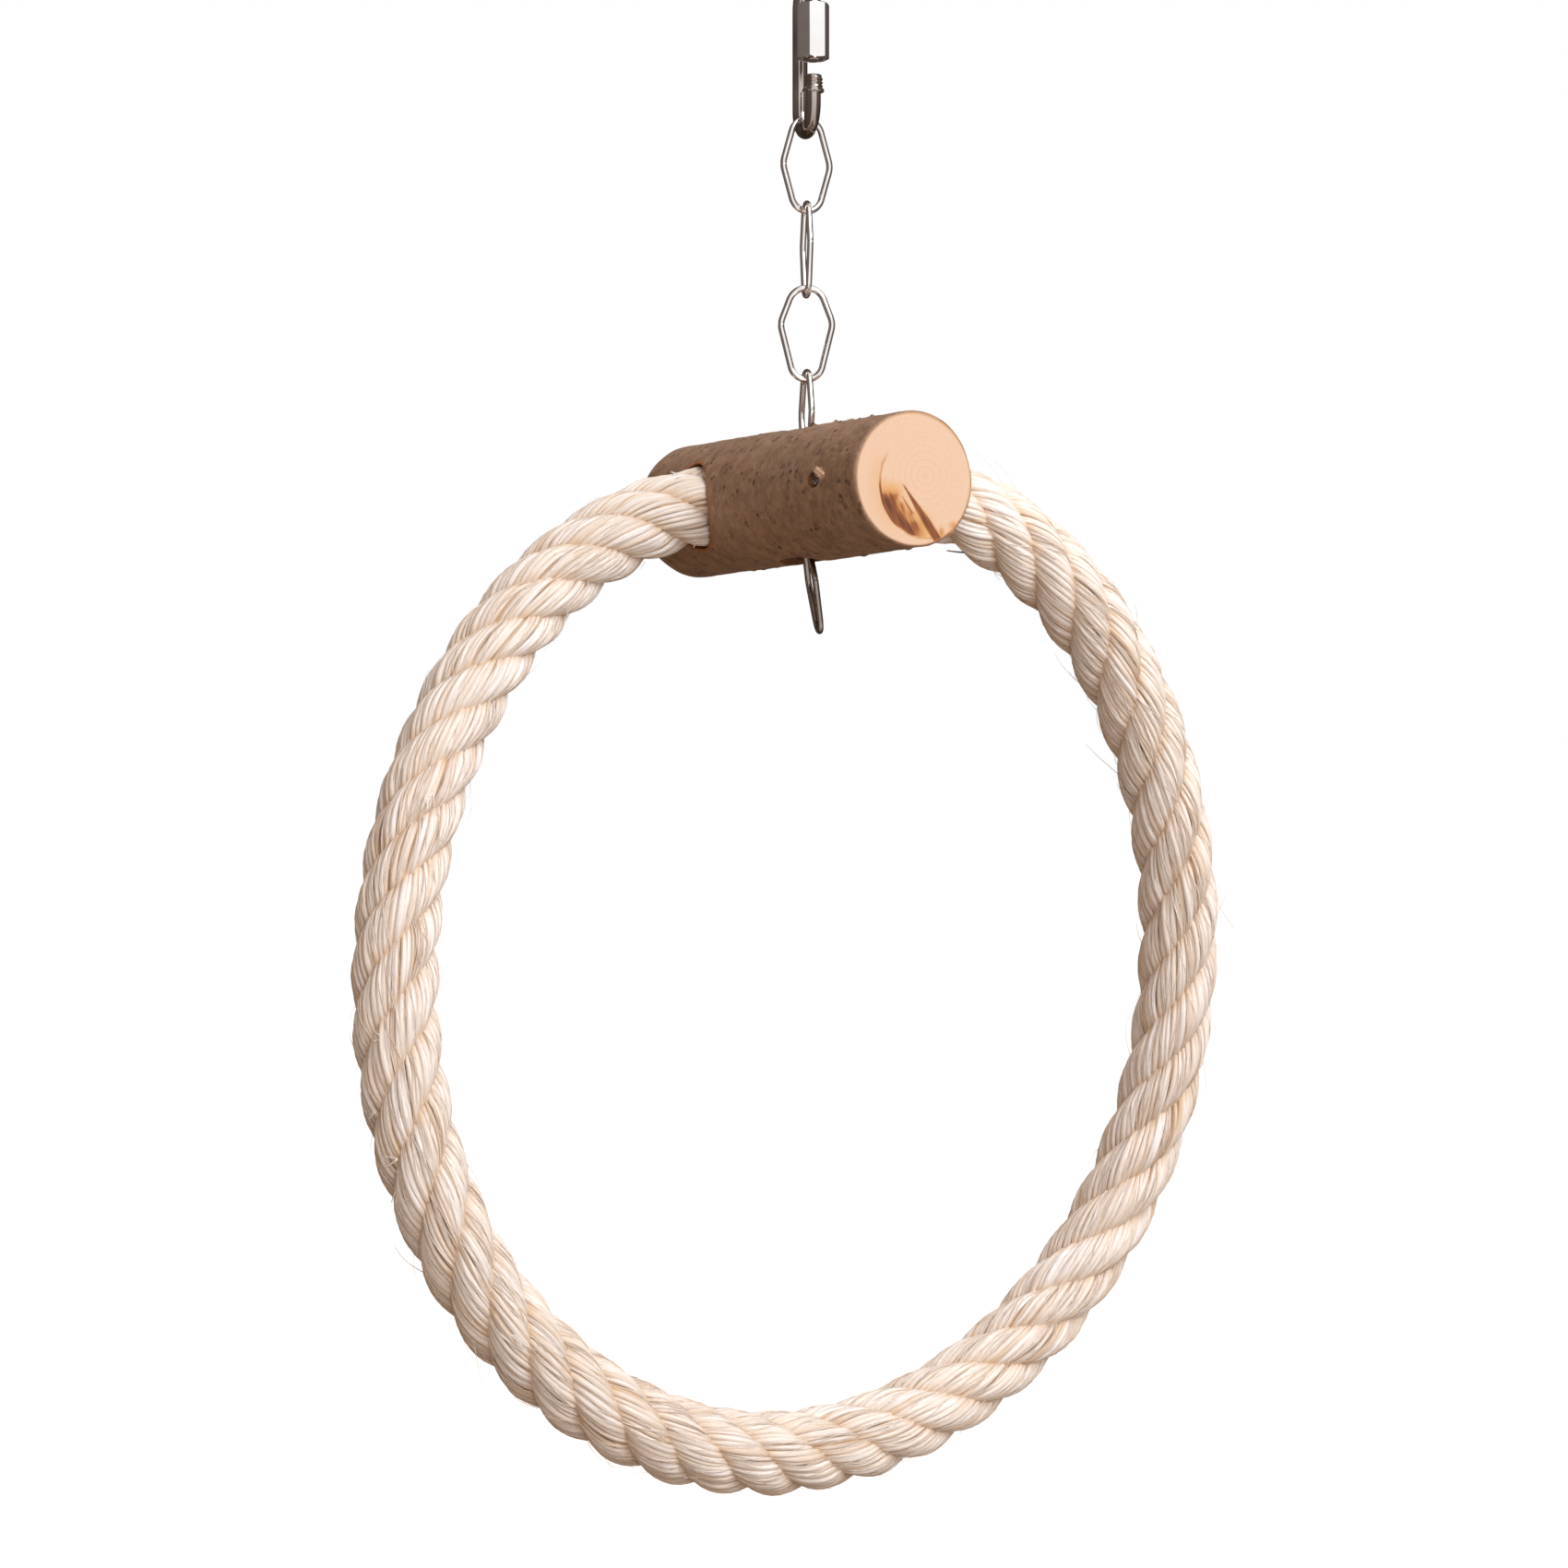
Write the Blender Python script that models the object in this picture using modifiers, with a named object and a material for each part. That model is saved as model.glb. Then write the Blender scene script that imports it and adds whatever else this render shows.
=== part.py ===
"""Sisal ring bird toy: a rope ring whose ends sit in a log, hung on a chain and a quick link.

Sizes are in millimetres and become metres when an object is made. +Z is up and the origin is the
hang point, inside the top of the quick link. The chain hangs down the Z axis, the log lies along Y
with its seen sawn end at -Y, and the ring stands about the XZ plane.
"""

import math

import bmesh
import bpy
from mathutils import Matrix, Vector

MM = 0.001

# Gap left between pieces that touch
CLEARANCE = 0.3

# Quick link, with its arms' spacing taken between their centre lines
QUICK_WIRE = 5.2
QUICK_LENGTH = 56.0
QUICK_SPAN = 17.0
QUICK_TURN = 76.0
QUICK_NECK = 3.1
COLLAR_DIAMETER = 7.4
COLLAR_HEIGHT = 1.2
THREAD_DIAMETER = 6.6
THREAD_DEPTH = 0.4
THREAD_PITCH = 1.2
STUB_THREAD_COUNT = 4
ARM_THREAD_COUNT = 14
STEP = 0.15

# Hexagonal sleeve, drawn screwed up so that the link is open
SLEEVE_LENGTH = 19.3
SLEEVE_FLATS = 10.0
SLEEVE_CHAMFER = 1.2
SLEEVE_LIFT = 9.5
SLEEVE_TURN = 18.0
SLEEVE_BORE = THREAD_DIAMETER + 2 * CLEARANCE

# Chain links: a wire bent to round ends and two blunt side corners
LINK_WIRE = 2.2
LINK_LENGTH = 33.45
LINK_WIDTH = 20.2
LINK_END_HALF = 4.3
LINK_CORNER = 2.2
LINK_TURNS = (-4.0, 69.0, -29.0, 72.0, -60.0, 68.0)
LINK_CORNER_SHARES = (0.50, 0.45, 0.39, 0.45, 0.45, 0.45)
LOWEST_LINK_LEAN = -9.0

# Log, measured from the chain to each sawn end
LOG_FRONT_DIAMETER = 44.6
LOG_REAR_DIAMETER = 47.8
LOG_FRONT_LENGTH = 71.0
LOG_REAR_LENGTH = 80.0
LOG_EDGE = 0.6
SLOT_END_GAP = 2.0
SLOT_SIDE_GAP = 1.2
SLOT_LENGTH = LINK_WIDTH + 2 * SLOT_END_GAP
SLOT_WIDTH = (LINK_WIDTH - LINK_WIRE) * math.cos(math.radians(LINK_TURNS[4])) + LINK_WIRE + 2 * SLOT_SIDE_GAP
HOLE_SIDES = 32

# Hidden pin that carries the log on the chain
PIN_DIAMETER = 3.0
PIN_RISE = 13.7
PIN_COVER = 2.0
PIN_CHAMFER = 0.3

# Four-strand rope ring
ROPE_DIAMETER = 28.2
ROPE_STRANDS = 4
ROPE_STRAND_SHARE = 0.65
ROPE_LAY = 86.0
ROPE_SIDES = 4
ROPE_STATIONS = 180
RING_HALF_WIDTH = 146.0
RING_HALF_HEIGHT = 163.0
RING_PEAR = 0.095
RING_TURN = 0.134
BORE_OFFSET = 44.1
BORE_GAP = 0.5
BORE_PAST_AXIS = 10.0
BORE_START = math.radians(5.5)

# Nails that pin the rope's ends in the log
NAIL_SHANK = 2.4
NAIL_HEAD = 3.6
NAIL_HEAD_HEIGHT = 1.4
NAIL_LENGTH = 29.0
NAIL_SINK = 0.6
NAIL_RISE = 1.0


def clear_scene():
    """Remove every object of the scene."""
    for obj in list(bpy.data.objects):
        bpy.data.objects.remove(obj, do_unlink=True)


def new_collection(name, hidden=False):
    """Return a new collection under the scene's own."""
    collection = bpy.data.collections.new(name)
    collection.hide_render = hidden
    bpy.context.scene.collection.children.link(collection)
    return collection


def new_material(name, colour, roughness, metallic=0.0):
    """Return a Principled material."""
    material = bpy.data.materials.new(name)
    material.use_nodes = True
    shader = material.node_tree.nodes["Principled BSDF"]
    shader.inputs["Base Color"].default_value = (*colour, 1.0)
    shader.inputs["Roughness"].default_value = roughness
    shader.inputs["Metallic"].default_value = metallic
    material.diffuse_color = (*colour, 1.0)
    return material


def place(obj, collection, material=None):
    """Link an object to a collection and give it its material."""
    collection.objects.link(obj)
    if material is not None:
        obj.data.materials.append(material)
    if collection.hide_render:
        obj.hide_render = True
        obj.display_type = "WIRE"
    return obj


def turn_about_z(degrees):
    """Return the rotation about +Z."""
    return Matrix.Rotation(math.radians(degrees), 4, "Z")


def at(point):
    """Return the matrix that moves the origin to a point in millimetres."""
    return Matrix.Translation(Vector(point) * MM)


def rod(name, start, end, radius, collection, sides=HOLE_SIDES, end_radius=None):
    """Make a round rod or cone between two points, with its origin at its middle."""
    axis = Vector(end) - Vector(start)
    shape = bmesh.new()
    bmesh.ops.create_cone(
        shape,
        cap_ends=True,
        segments=sides,
        radius1=radius * MM,
        radius2=(radius if end_radius is None else end_radius) * MM,
        depth=axis.length * MM,
    )
    mesh = bpy.data.meshes.new(name)
    shape.to_mesh(mesh)
    shape.free()
    obj = bpy.data.objects.new(name, mesh)
    middle = (Vector(start) + Vector(end)) / 2
    obj.matrix_world = at(middle) @ axis.to_track_quat("Z", "Y").to_matrix().to_4x4()
    return place(obj, collection)


def turned(name, profile, collection, material=None, steps=20):
    """Make a turned solid from (radius, height) pairs that run from top to bottom."""
    mesh = bpy.data.meshes.new(name)
    points = [(radius * MM, 0.0, height * MM) for radius, height in profile]
    mesh.from_pydata(points, [(i, i + 1) for i in range(len(points) - 1)], [])
    obj = bpy.data.objects.new(name, mesh)
    screw = obj.modifiers.new("turn", "SCREW")
    screw.angle = 2 * math.pi
    screw.steps = steps
    screw.render_steps = steps
    screw.use_merge_vertices = True
    screw.merge_threshold = 0.00001
    screw.use_smooth_shade = False
    return place(obj, collection, material)


def combine(obj, other, operation="DIFFERENCE"):
    """Add a Boolean of another object."""
    modifier = obj.modifiers.new(other.name, "BOOLEAN")
    modifier.operation = operation
    modifier.solver = "EXACT"
    modifier.object = other


def wire(name, points, radii, closed, resolution):
    """Make a wire through points, with a radius at each of them."""
    curve = bpy.data.curves.new(name, "CURVE")
    curve.dimensions = "3D"
    curve.bevel_depth = max(radii) * MM
    curve.bevel_resolution = resolution
    curve.use_fill_caps = not closed
    spline = curve.splines.new("POLY")
    spline.points.add(len(points) - 1)
    spline.use_cyclic_u = closed
    for knot, point, radius in zip(spline.points, points, radii):
        knot.co = (*(Vector(point) * MM), 1.0)
        knot.radius = radius / max(radii)
    return bpy.data.objects.new(name, curve)


def arc(centre, radius, first, last, steps):
    """Return points of an arc in the XZ plane, with its angles in degrees from +X to +Z."""
    points = []
    for i in range(steps + 1):
        angle = math.radians(first + (last - first) * i / steps)
        points.append((centre[0] + radius * math.cos(angle), 0.0, centre[1] + radius * math.sin(angle)))
    return points


def rounded(corners, reaches, steps):
    """Return a closed XZ outline whose corners are rounded from a reach before to a reach after each."""
    points = []
    for i, corner in enumerate(corners):
        here = Vector(corner)
        before = (Vector(corners[i - 1]) - here).normalized()
        after = (Vector(corners[(i + 1) % len(corners)]) - here).normalized()
        turn = math.pi - before.angle(after)
        radius = reaches[i] / math.tan(turn / 2)
        centre = here + (before + after).normalized() * radius / math.cos(turn / 2)
        start = (here + before * reaches[i] - centre).normalized()
        end = (here + after * reaches[i] - centre).normalized()
        for step in range(steps[i] + 1):
            rim = centre + start.slerp(end, step / steps[i]).normalized() * radius
            points.append((rim.x, 0.0, rim.y))
    return points


def thread(top, count):
    """Return (height, radius) pairs of rings of thread, from the top down."""
    crest = THREAD_DIAMETER / 2
    rings = []
    for i in range(count):
        rings.append((top - i * THREAD_PITCH, crest - THREAD_DEPTH))
        rings.append((top - (i + 0.5) * THREAD_PITCH, crest))
    return rings


def make_quick_link(collection, material):
    """Make the bent rod with its threaded stub and arm, and return it with its gate heights."""
    bow = QUICK_SPAN / 2
    wire_radius = QUICK_WIRE / 2
    top = wire_radius - bow
    bottom = wire_radius - QUICK_LENGTH + QUICK_WIRE + bow
    collar = bottom + QUICK_NECK
    stub = collar + COLLAR_HEIGHT + STUB_THREAD_COUNT * THREAD_PITCH
    arm = top - QUICK_NECK

    knots = [((-bow, 0.0, height), radius) for height, radius in thread(stub, STUB_THREAD_COUNT)]
    knots.append(((-bow, 0.0, collar + COLLAR_HEIGHT + STEP), THREAD_DIAMETER / 2 - THREAD_DEPTH))
    knots.append(((-bow, 0.0, collar + COLLAR_HEIGHT), COLLAR_DIAMETER / 2))
    knots.append(((-bow, 0.0, collar + STEP), COLLAR_DIAMETER / 2))
    knots.append(((-bow, 0.0, collar), wire_radius))
    knots += [(point, wire_radius) for point in arc((0.0, bottom), bow, 180.0, 360.0, 18)]
    knots += [(point, wire_radius) for point in arc((0.0, top), bow, 0.0, 180.0, 18)]
    knots.append(((-bow, 0.0, arm + STEP), wire_radius))
    knots += [((-bow, 0.0, height), radius) for height, radius in thread(arm, ARM_THREAD_COUNT)]

    obj = wire("quick_link_body", *zip(*knots), closed=False, resolution=4)
    obj.matrix_world = turn_about_z(QUICK_TURN)
    place(obj, collection, material)
    return obj, collar + COLLAR_HEIGHT + CLEARANCE


def make_sleeve(closed_height, collection, cutters, material):
    """Make the hexagonal sleeve around the gate arm, raised from where it closes the link."""
    arm = turn_about_z(QUICK_TURN) @ Vector((-QUICK_SPAN / 2, 0.0, 0.0))
    middle = (arm.x, arm.y, closed_height + SLEEVE_LIFT + SLEEVE_LENGTH / 2)
    half = Vector((0.0, 0.0, SLEEVE_LENGTH / 2))
    corner = SLEEVE_FLATS / math.sqrt(3)
    sleeve = rod("quick_link_sleeve", -half, half, corner, collection, sides=6)
    sleeve.matrix_world = at(middle) @ turn_about_z(SLEEVE_TURN)
    sleeve.data.materials.append(material)

    ease = SLEEVE_CHAMFER * math.tan(math.radians(30.0))
    top = SLEEVE_LENGTH / 2
    end_radius = corner - SLEEVE_CHAMFER
    outline = [(0.0, top), (end_radius, top), (corner, top - ease), (corner, ease - top), (end_radius, -top)]
    barrel = turned("sleeve_barrel", [*outline, (0.0, -top)], cutters, steps=36)
    barrel.matrix_world = at(middle)
    combine(sleeve, barrel, "INTERSECT")

    reach = Vector((0.0, 0.0, SLEEVE_LENGTH))
    bore = rod("sleeve_bore", Vector(middle) - reach, Vector(middle) + reach, SLEEVE_BORE / 2, cutters)
    combine(sleeve, bore)
    return sleeve


def make_link(index, hold_height, hold_radius, length, collection, material, lean=0.0):
    """Make one chain link hanging on a wire or pin, and return the height of its lower wire."""
    rise = hold_radius + CLEARANCE + LINK_WIRE / 2
    drop = rise - (length - LINK_WIRE)
    half = (LINK_WIDTH - LINK_WIRE) / 2
    level = rise - LINK_CORNER_SHARES[index] * (rise - drop)
    end = LINK_END_HALF
    corners = [(-end, rise), (end, rise), (half, level), (end, drop), (-end, drop), (-half, level)]
    reaches = [end, end, LINK_CORNER, end, end, LINK_CORNER]
    points = rounded(corners, reaches, [6, 6, 3, 6, 6, 3])
    spaced = [p for i, p in enumerate(points) if (Vector(p) - Vector(points[i - 1])).length > STEP]
    obj = wire(f"chain_link_{index + 1}", spaced, [LINK_WIRE / 2] * len(spaced), closed=True, resolution=2)
    tilt = Matrix.Rotation(math.radians(lean), 4, "X")
    obj.matrix_world = at((0.0, 0.0, hold_height)) @ turn_about_z(LINK_TURNS[index]) @ tilt
    place(obj, collection, material)
    return hold_height + drop


def log_radius(y):
    """Return the log's radius at a distance along it."""
    share = (y + LOG_FRONT_LENGTH) / (LOG_FRONT_LENGTH + LOG_REAR_LENGTH)
    return (LOG_FRONT_DIAMETER + (LOG_REAR_DIAMETER - LOG_FRONT_DIAMETER) * share) / 2


def ring_point(u, axis_height):
    """Return a point of the left half of the ring, from the log at u = 0 to the bottom at u = pi."""
    upper = (1 + math.cos(u)) / 2
    x = -RING_HALF_WIDTH * math.sin(u) * (1 - RING_PEAR * math.cos(u))
    y = BORE_OFFSET * upper + RING_TURN * x * (1 - upper)
    return Vector((x, y, axis_height - RING_HALF_HEIGHT * (1 - math.cos(u))))


def rope_line(axis_height):
    """Return the rope's centre line: a straight end in each bore and the hanging ring between."""
    half = []
    for i in range(ROPE_STATIONS // 2 + 1):
        half.append(ring_point(BORE_START + (math.pi - BORE_START) * i / (ROPE_STATIONS // 2), axis_height))
    inward = (half[0] - half[1]).normalized()
    reach = (BORE_PAST_AXIS - CLEARANCE - half[0].x) / inward.x
    straight = [half[0] + inward * reach * share for share in (1.0, 0.8, 0.6, 0.4, 0.2)]
    left = straight + half
    right = [Vector((-point.x, -point.y, point.z)) for point in reversed(left[:-1])]
    return left + right


def strand_outline():
    """Return the rope's lobed cross-section, one lobe for each strand."""
    radius = ROPE_DIAMETER / 2
    strand = ROPE_STRAND_SHARE * radius
    offset = radius - strand
    lobe = 2 * math.pi / ROPE_STRANDS
    points = []
    for i in range(ROPE_STRANDS * ROPE_SIDES):
        away = (i % ROPE_SIDES) / ROPE_SIDES * lobe - lobe / 2
        reach = offset * math.cos(away) + math.sqrt(strand**2 - (offset * math.sin(away)) ** 2)
        angle = i / ROPE_SIDES * lobe
        points.append((reach * math.cos(angle), reach * math.sin(angle)))
    return points


def make_rope(line, collection, material):
    """Make the rope by sweeping its lobed section along the line, turning once for each lay."""
    section = bpy.data.curves.new("rope_section", "CURVE")
    edge = section.splines.new("POLY")
    outline = strand_outline()
    edge.points.add(len(outline) - 1)
    edge.use_cyclic_u = True
    for knot, point in zip(edge.points, outline):
        knot.co = (point[0] * MM, point[1] * MM, 0.0, 1.0)
    section_object = bpy.data.objects.new("rope_section", section)

    sweep = wire("rope_sweep", line, [1.0] * len(line), closed=False, resolution=0)
    sweep.data.bevel_mode = "OBJECT"
    sweep.data.bevel_object = section_object
    travelled = 0.0
    for knot, point, last in zip(sweep.data.splines[0].points, line, [line[0], *line]):
        travelled += (point - last).length
        knot.tilt = 2 * math.pi * travelled / ROPE_LAY
    for helper in (section_object, sweep):
        bpy.context.scene.collection.objects.link(helper)
    bpy.context.view_layer.update()
    graph = bpy.context.evaluated_depsgraph_get()
    mesh = bpy.data.meshes.new_from_object(sweep.evaluated_get(graph))
    for helper in (sweep, section_object):
        bpy.data.objects.remove(helper, do_unlink=True)

    shape = bmesh.new()
    shape.from_mesh(mesh)
    bmesh.ops.remove_doubles(shape, verts=shape.verts, dist=0.00001)
    bmesh.ops.recalc_face_normals(shape, faces=shape.faces)
    shape.to_mesh(mesh)
    shape.free()
    mesh.name = "sisal_rope"
    return place(bpy.data.objects.new("sisal_rope", mesh), collection, material)


def chain_slot(bottom, top, collection):
    """Make the upright cutter for the chain, with round ends and long along the log."""
    cutter = rod("chain_slot", bottom, top, SLOT_WIDTH / 2, collection)
    cutter.data.transform(turn_about_z(180.0 / HOLE_SIDES))
    spread = (SLOT_LENGTH - SLOT_WIDTH) / 2 * MM
    for vertex in cutter.data.vertices:
        vertex.co.y += math.copysign(spread, vertex.co.y)
    return cutter


def make_log(line, axis_height, collection, cutters, material):
    """Make the tapered log with its chain slot and the two rope bores."""
    front = Vector((0.0, -LOG_FRONT_LENGTH, axis_height))
    rear = Vector((0.0, LOG_REAR_LENGTH, axis_height))
    log = rod("hazel_log", front, rear, LOG_FRONT_DIAMETER / 2, collection, 48, LOG_REAR_DIAMETER / 2)
    log.data.materials.append(material)
    edge = log.modifiers.new("sawn edge", "BEVEL")
    edge.width = LOG_EDGE * MM
    edge.segments = 1
    edge.limit_method = "ANGLE"
    edge.angle_limit = math.radians(60.0)

    past = Vector((0.0, 0.0, LOG_REAR_DIAMETER))
    middle = Vector((0.0, 0.0, axis_height))
    combine(log, chain_slot(middle - past, middle + past, cutters))

    radius = ROPE_DIAMETER / 2 + BORE_GAP
    for name, inner, outer in (("rear", line[0], line[4]), ("front", line[-1], line[-5])):
        way = (outer - inner).normalized()
        start = inner - way * CLEARANCE
        end = start + way * 2 * LOG_REAR_DIAMETER
        combine(log, rod(f"rope_bore_{name}", start, end, radius, cutters, 40))
    return log


def make_pin(log, axis_height, pin_height, collection, cutters, material):
    """Make the cross pin, driven from the far side and stopping short of the near one."""
    rise = pin_height - axis_height
    surface = math.sqrt(log_radius(0.0) ** 2 - rise**2)
    start = -surface + PIN_COVER
    end = surface - CLEARANCE
    radius = PIN_DIAMETER / 2
    half = (end - start) / 2
    ends = [(0.0, half), (radius - PIN_CHAMFER, half), (radius, half - PIN_CHAMFER)]
    profile = ends + [(r, -height) for r, height in reversed(ends)]
    pin = turned("chain_pin", profile, collection, material)
    along_x = Matrix.Rotation(math.radians(90.0), 4, "Y")
    pin.matrix_world = at(((start + end) / 2, 0.0, pin_height)) @ along_x
    left = Vector((start - CLEARANCE, 0.0, pin_height))
    right = Vector((2 * surface, 0.0, pin_height))
    combine(log, rod("pin_bore", left, right, radius + CLEARANCE, cutters, 20))
    return pin


def make_nail(name, side, log, rope, axis_height, collection, cutters, material):
    """Make one nail that runs across the log into the rope's end; side is +1 at the rear bore."""
    y = side * BORE_OFFSET
    height = axis_height + NAIL_RISE
    surface = math.sqrt(log_radius(y) ** 2 - NAIL_RISE**2)
    head = surface - NAIL_SINK
    shank = NAIL_SHANK / 2
    neck = -NAIL_HEAD_HEIGHT
    tip = -NAIL_LENGTH
    profile = [(0.0, 0.0), (NAIL_HEAD / 2, 0.0), (NAIL_HEAD / 2, neck), (shank, neck)]
    profile += [(shank, tip + NAIL_SHANK), (0.0, tip)]
    nail = turned(name, profile, collection, material, steps=16)
    outward = Matrix.Rotation(math.radians(side * 90.0), 4, "Y")
    nail.matrix_world = at((side * head, y, height)) @ outward

    def across(depth):
        return Vector((side * (head - depth), y, height))

    head_room = NAIL_HEAD / 2 + CLEARANCE
    shank_room = shank + CLEARANCE
    sink = rod(f"{name}_sink", across(NAIL_HEAD_HEIGHT + CLEARANCE), across(-surface), head_room, cutters, 20)
    hole = rod(f"{name}_hole", across(NAIL_LENGTH + CLEARANCE), across(0.0), shank_room, cutters, 16)
    combine(log, sink)
    combine(log, hole)
    combine(rope, hole)
    return nail


def build():
    """Build the whole toy from the hang point down."""
    clear_scene()
    parts = new_collection("sisal_ring_toy")
    cutters = new_collection("cutters", hidden=True)
    polished = new_material("polished_steel", (0.62, 0.59, 0.57), 0.18, 1.0)
    link_steel = new_material("link_steel", (0.50, 0.47, 0.45), 0.25, 1.0)
    bark = new_material("bark", (0.15, 0.085, 0.053), 0.8)
    sisal = new_material("sisal", (0.80, 0.66, 0.53), 0.85)
    iron = new_material("nail_steel", (0.35, 0.33, 0.31), 0.4, 1.0)

    _, closed_height = make_quick_link(parts, polished)
    make_sleeve(closed_height, parts, cutters, polished)

    height = QUICK_WIRE - QUICK_LENGTH + QUICK_WIRE / 2
    hold = QUICK_WIRE / 2
    for index in range(4):
        height = make_link(index, height, hold, LINK_LENGTH, parts, link_steel)
        hold = LINK_WIRE / 2

    pin_radius = PIN_DIAMETER / 2
    pin_height = height + hold + CLEARANCE + pin_radius
    axis_height = pin_height - PIN_RISE
    long_link = LINK_LENGTH + PIN_DIAMETER + CLEARANCE
    height = make_link(4, pin_height, pin_radius, long_link, parts, link_steel)
    make_link(5, height, hold, LINK_LENGTH, parts, link_steel, lean=LOWEST_LINK_LEAN)

    line = rope_line(axis_height)
    rope = make_rope(line, parts, sisal)
    log = make_log(line, axis_height, parts, cutters, bark)
    pin = make_pin(log, axis_height, pin_height, parts, cutters, iron)
    nails = []
    for name, side in (("rope_nail_rear", 1), ("rope_nail_front", -1)):
        nails.append(make_nail(name, side, log, rope, axis_height, parts, cutters, iron))

    pivot = bpy.data.objects.new("log_pivot", None)
    pivot.matrix_world = at((0.0, 0.0, pin_height))
    parts.objects.link(pivot)
    bpy.context.view_layer.update()
    for piece in (log, pin, rope, *nails):
        piece.parent = pivot
        piece.matrix_parent_inverse = pivot.matrix_world.inverted()


if __name__ == "__main__":
    build()
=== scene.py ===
"""Looks of the hanging sisal ring: a laid rope, a hazel log, a wire chain and an open quick link.

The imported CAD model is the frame, in metres with +Z up and the hang point at the origin. The classes
below hold their sizes in millimetres, and a mesh gets metres when it is made.
"""

import logging
import math
import random
from collections.abc import Sequence
from dataclasses import dataclass
from enum import Enum

import bmesh
import bpy
import numpy as np
from mathutils import Matrix, Vector, noise


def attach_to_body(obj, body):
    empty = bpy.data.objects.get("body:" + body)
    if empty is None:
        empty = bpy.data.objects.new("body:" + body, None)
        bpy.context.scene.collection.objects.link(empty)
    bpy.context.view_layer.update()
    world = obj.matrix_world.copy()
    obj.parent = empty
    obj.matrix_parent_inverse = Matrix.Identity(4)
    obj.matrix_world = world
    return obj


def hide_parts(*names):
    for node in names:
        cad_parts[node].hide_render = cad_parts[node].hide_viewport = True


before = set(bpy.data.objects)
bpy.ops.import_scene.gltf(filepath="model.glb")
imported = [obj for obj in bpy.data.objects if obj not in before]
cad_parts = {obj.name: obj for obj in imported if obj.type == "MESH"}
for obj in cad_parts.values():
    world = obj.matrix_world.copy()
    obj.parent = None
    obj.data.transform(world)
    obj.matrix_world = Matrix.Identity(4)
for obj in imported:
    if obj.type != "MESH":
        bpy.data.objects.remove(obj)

MM = 0.001
WHITE = "#FFFFFF"
REPORT = logging.getLogger("sisal_ring")

# A colour Mix node's inputs by number, and what sets it up
SHARE, UNDER, OVER = 0, 6, 7
COLOUR_MIX = {"out": 2, "data_type": "RGBA"}


class Body(str, Enum):
    """The CAD bodies that new pieces ride on, apart from the chain's."""

    QUICK_LINK = "quick_link"
    SLEEVE = "sleeve"
    PERCH = "perch"


class Slot(str, Enum):
    """The record's material slots."""

    QUICK_LINK = "polished_steel"
    SLEEVE = "sleeve_steel"
    LINK = "link_steel"
    LOG = "hazel_wood"
    NAIL = "nail_steel"
    ROPE = "sisal"


class Side(Enum):
    """The side of the log on which a rope end goes in, as a sign along X."""

    LEFT = -1
    RIGHT = 1


# Shared helpers


def linear(code: str) -> tuple[float, float, float, float]:
    """Turn an sRGB hex colour into linear RGBA.

    Args:
        code: The colour, such as "#F5CEB1".

    Returns:
        Red, green, blue and a full alpha.
    """
    shares = [int(code[i : i + 2], 16) / 255 for i in (1, 3, 5)]
    return (*(s / 12.92 if s <= 0.04045 else ((s + 0.055) / 1.055) ** 2.4 for s in shares), 1.0)


def smooth_step(low: float, high: float, value: float) -> float:
    """Return 0 at low, 1 at high, and a smooth change between them."""
    share = min(max((value - low) / (high - low), 0.0), 1.0)
    return share * share * (3 - 2 * share)


def per_mm(size: float) -> float:
    """Return the texture scale that gives a pattern its size in millimetres."""
    return 1 / (size * MM)


def feed(node: bpy.types.Node, inputs: dict | Sequence) -> None:
    """Set or link a node's inputs.

    Args:
        node: The node.
        inputs: The inputs in order, or by name or number: each a value or the socket that feeds it.
    """
    pairs = inputs.items() if isinstance(inputs, dict) else enumerate(inputs)
    for key, value in pairs:
        if isinstance(value, bpy.types.NodeSocket):
            node.id_data.links.new(value, node.inputs[key])
        else:
            node.inputs[key].default_value = value


def add_node(
    tree: bpy.types.NodeTree,
    kind: str,
    inputs: dict | Sequence = (),
    out: int | str = 0,
    stops: Sequence[tuple[float, str]] = (),
    **settings: object,
) -> bpy.types.NodeSocket:
    """Add a node with its settings, its fixed inputs and its links.

    Args:
        tree: The node tree.
        kind: Blender's name for the node type, without ShaderNode before it.
        inputs: The inputs, as feed takes them.
        out: The output that is wanted, by name or number.
        stops: For a colour ramp, each position with its hex colour.
        settings: The node's own properties.

    Returns:
        The wanted output of the new node.
    """
    node = tree.nodes.new(f"ShaderNode{kind}")
    for name, value in settings.items():
        setattr(node, name, value)
    feed(node, inputs)
    for i, (position, code) in enumerate(stops):
        ramp = node.color_ramp.elements
        stop = ramp[i] if i < len(ramp) else ramp.new(position)
        stop.position = position
        stop.color = linear(code)
    return node.outputs[out]


def new_material(name: str) -> tuple[bpy.types.Material, bpy.types.NodeTree, bpy.types.Node]:
    """Start a material.

    Args:
        name: The material's name.

    Returns:
        The material, its node tree and its Principled shader.
    """
    material = bpy.data.materials.new(name)
    material.use_nodes = True
    return material, material.node_tree, material.node_tree.nodes["Principled BSDF"]


def link_object(name: str, data: bpy.types.ID) -> bpy.types.Object:
    """Put data into the scene as an object at the origin.

    Args:
        name: The object's name.
        data: Its mesh, curve, camera or light.

    Returns:
        The new object.
    """
    obj = bpy.data.objects.new(name, data)
    bpy.context.scene.collection.objects.link(obj)
    return obj


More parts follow.
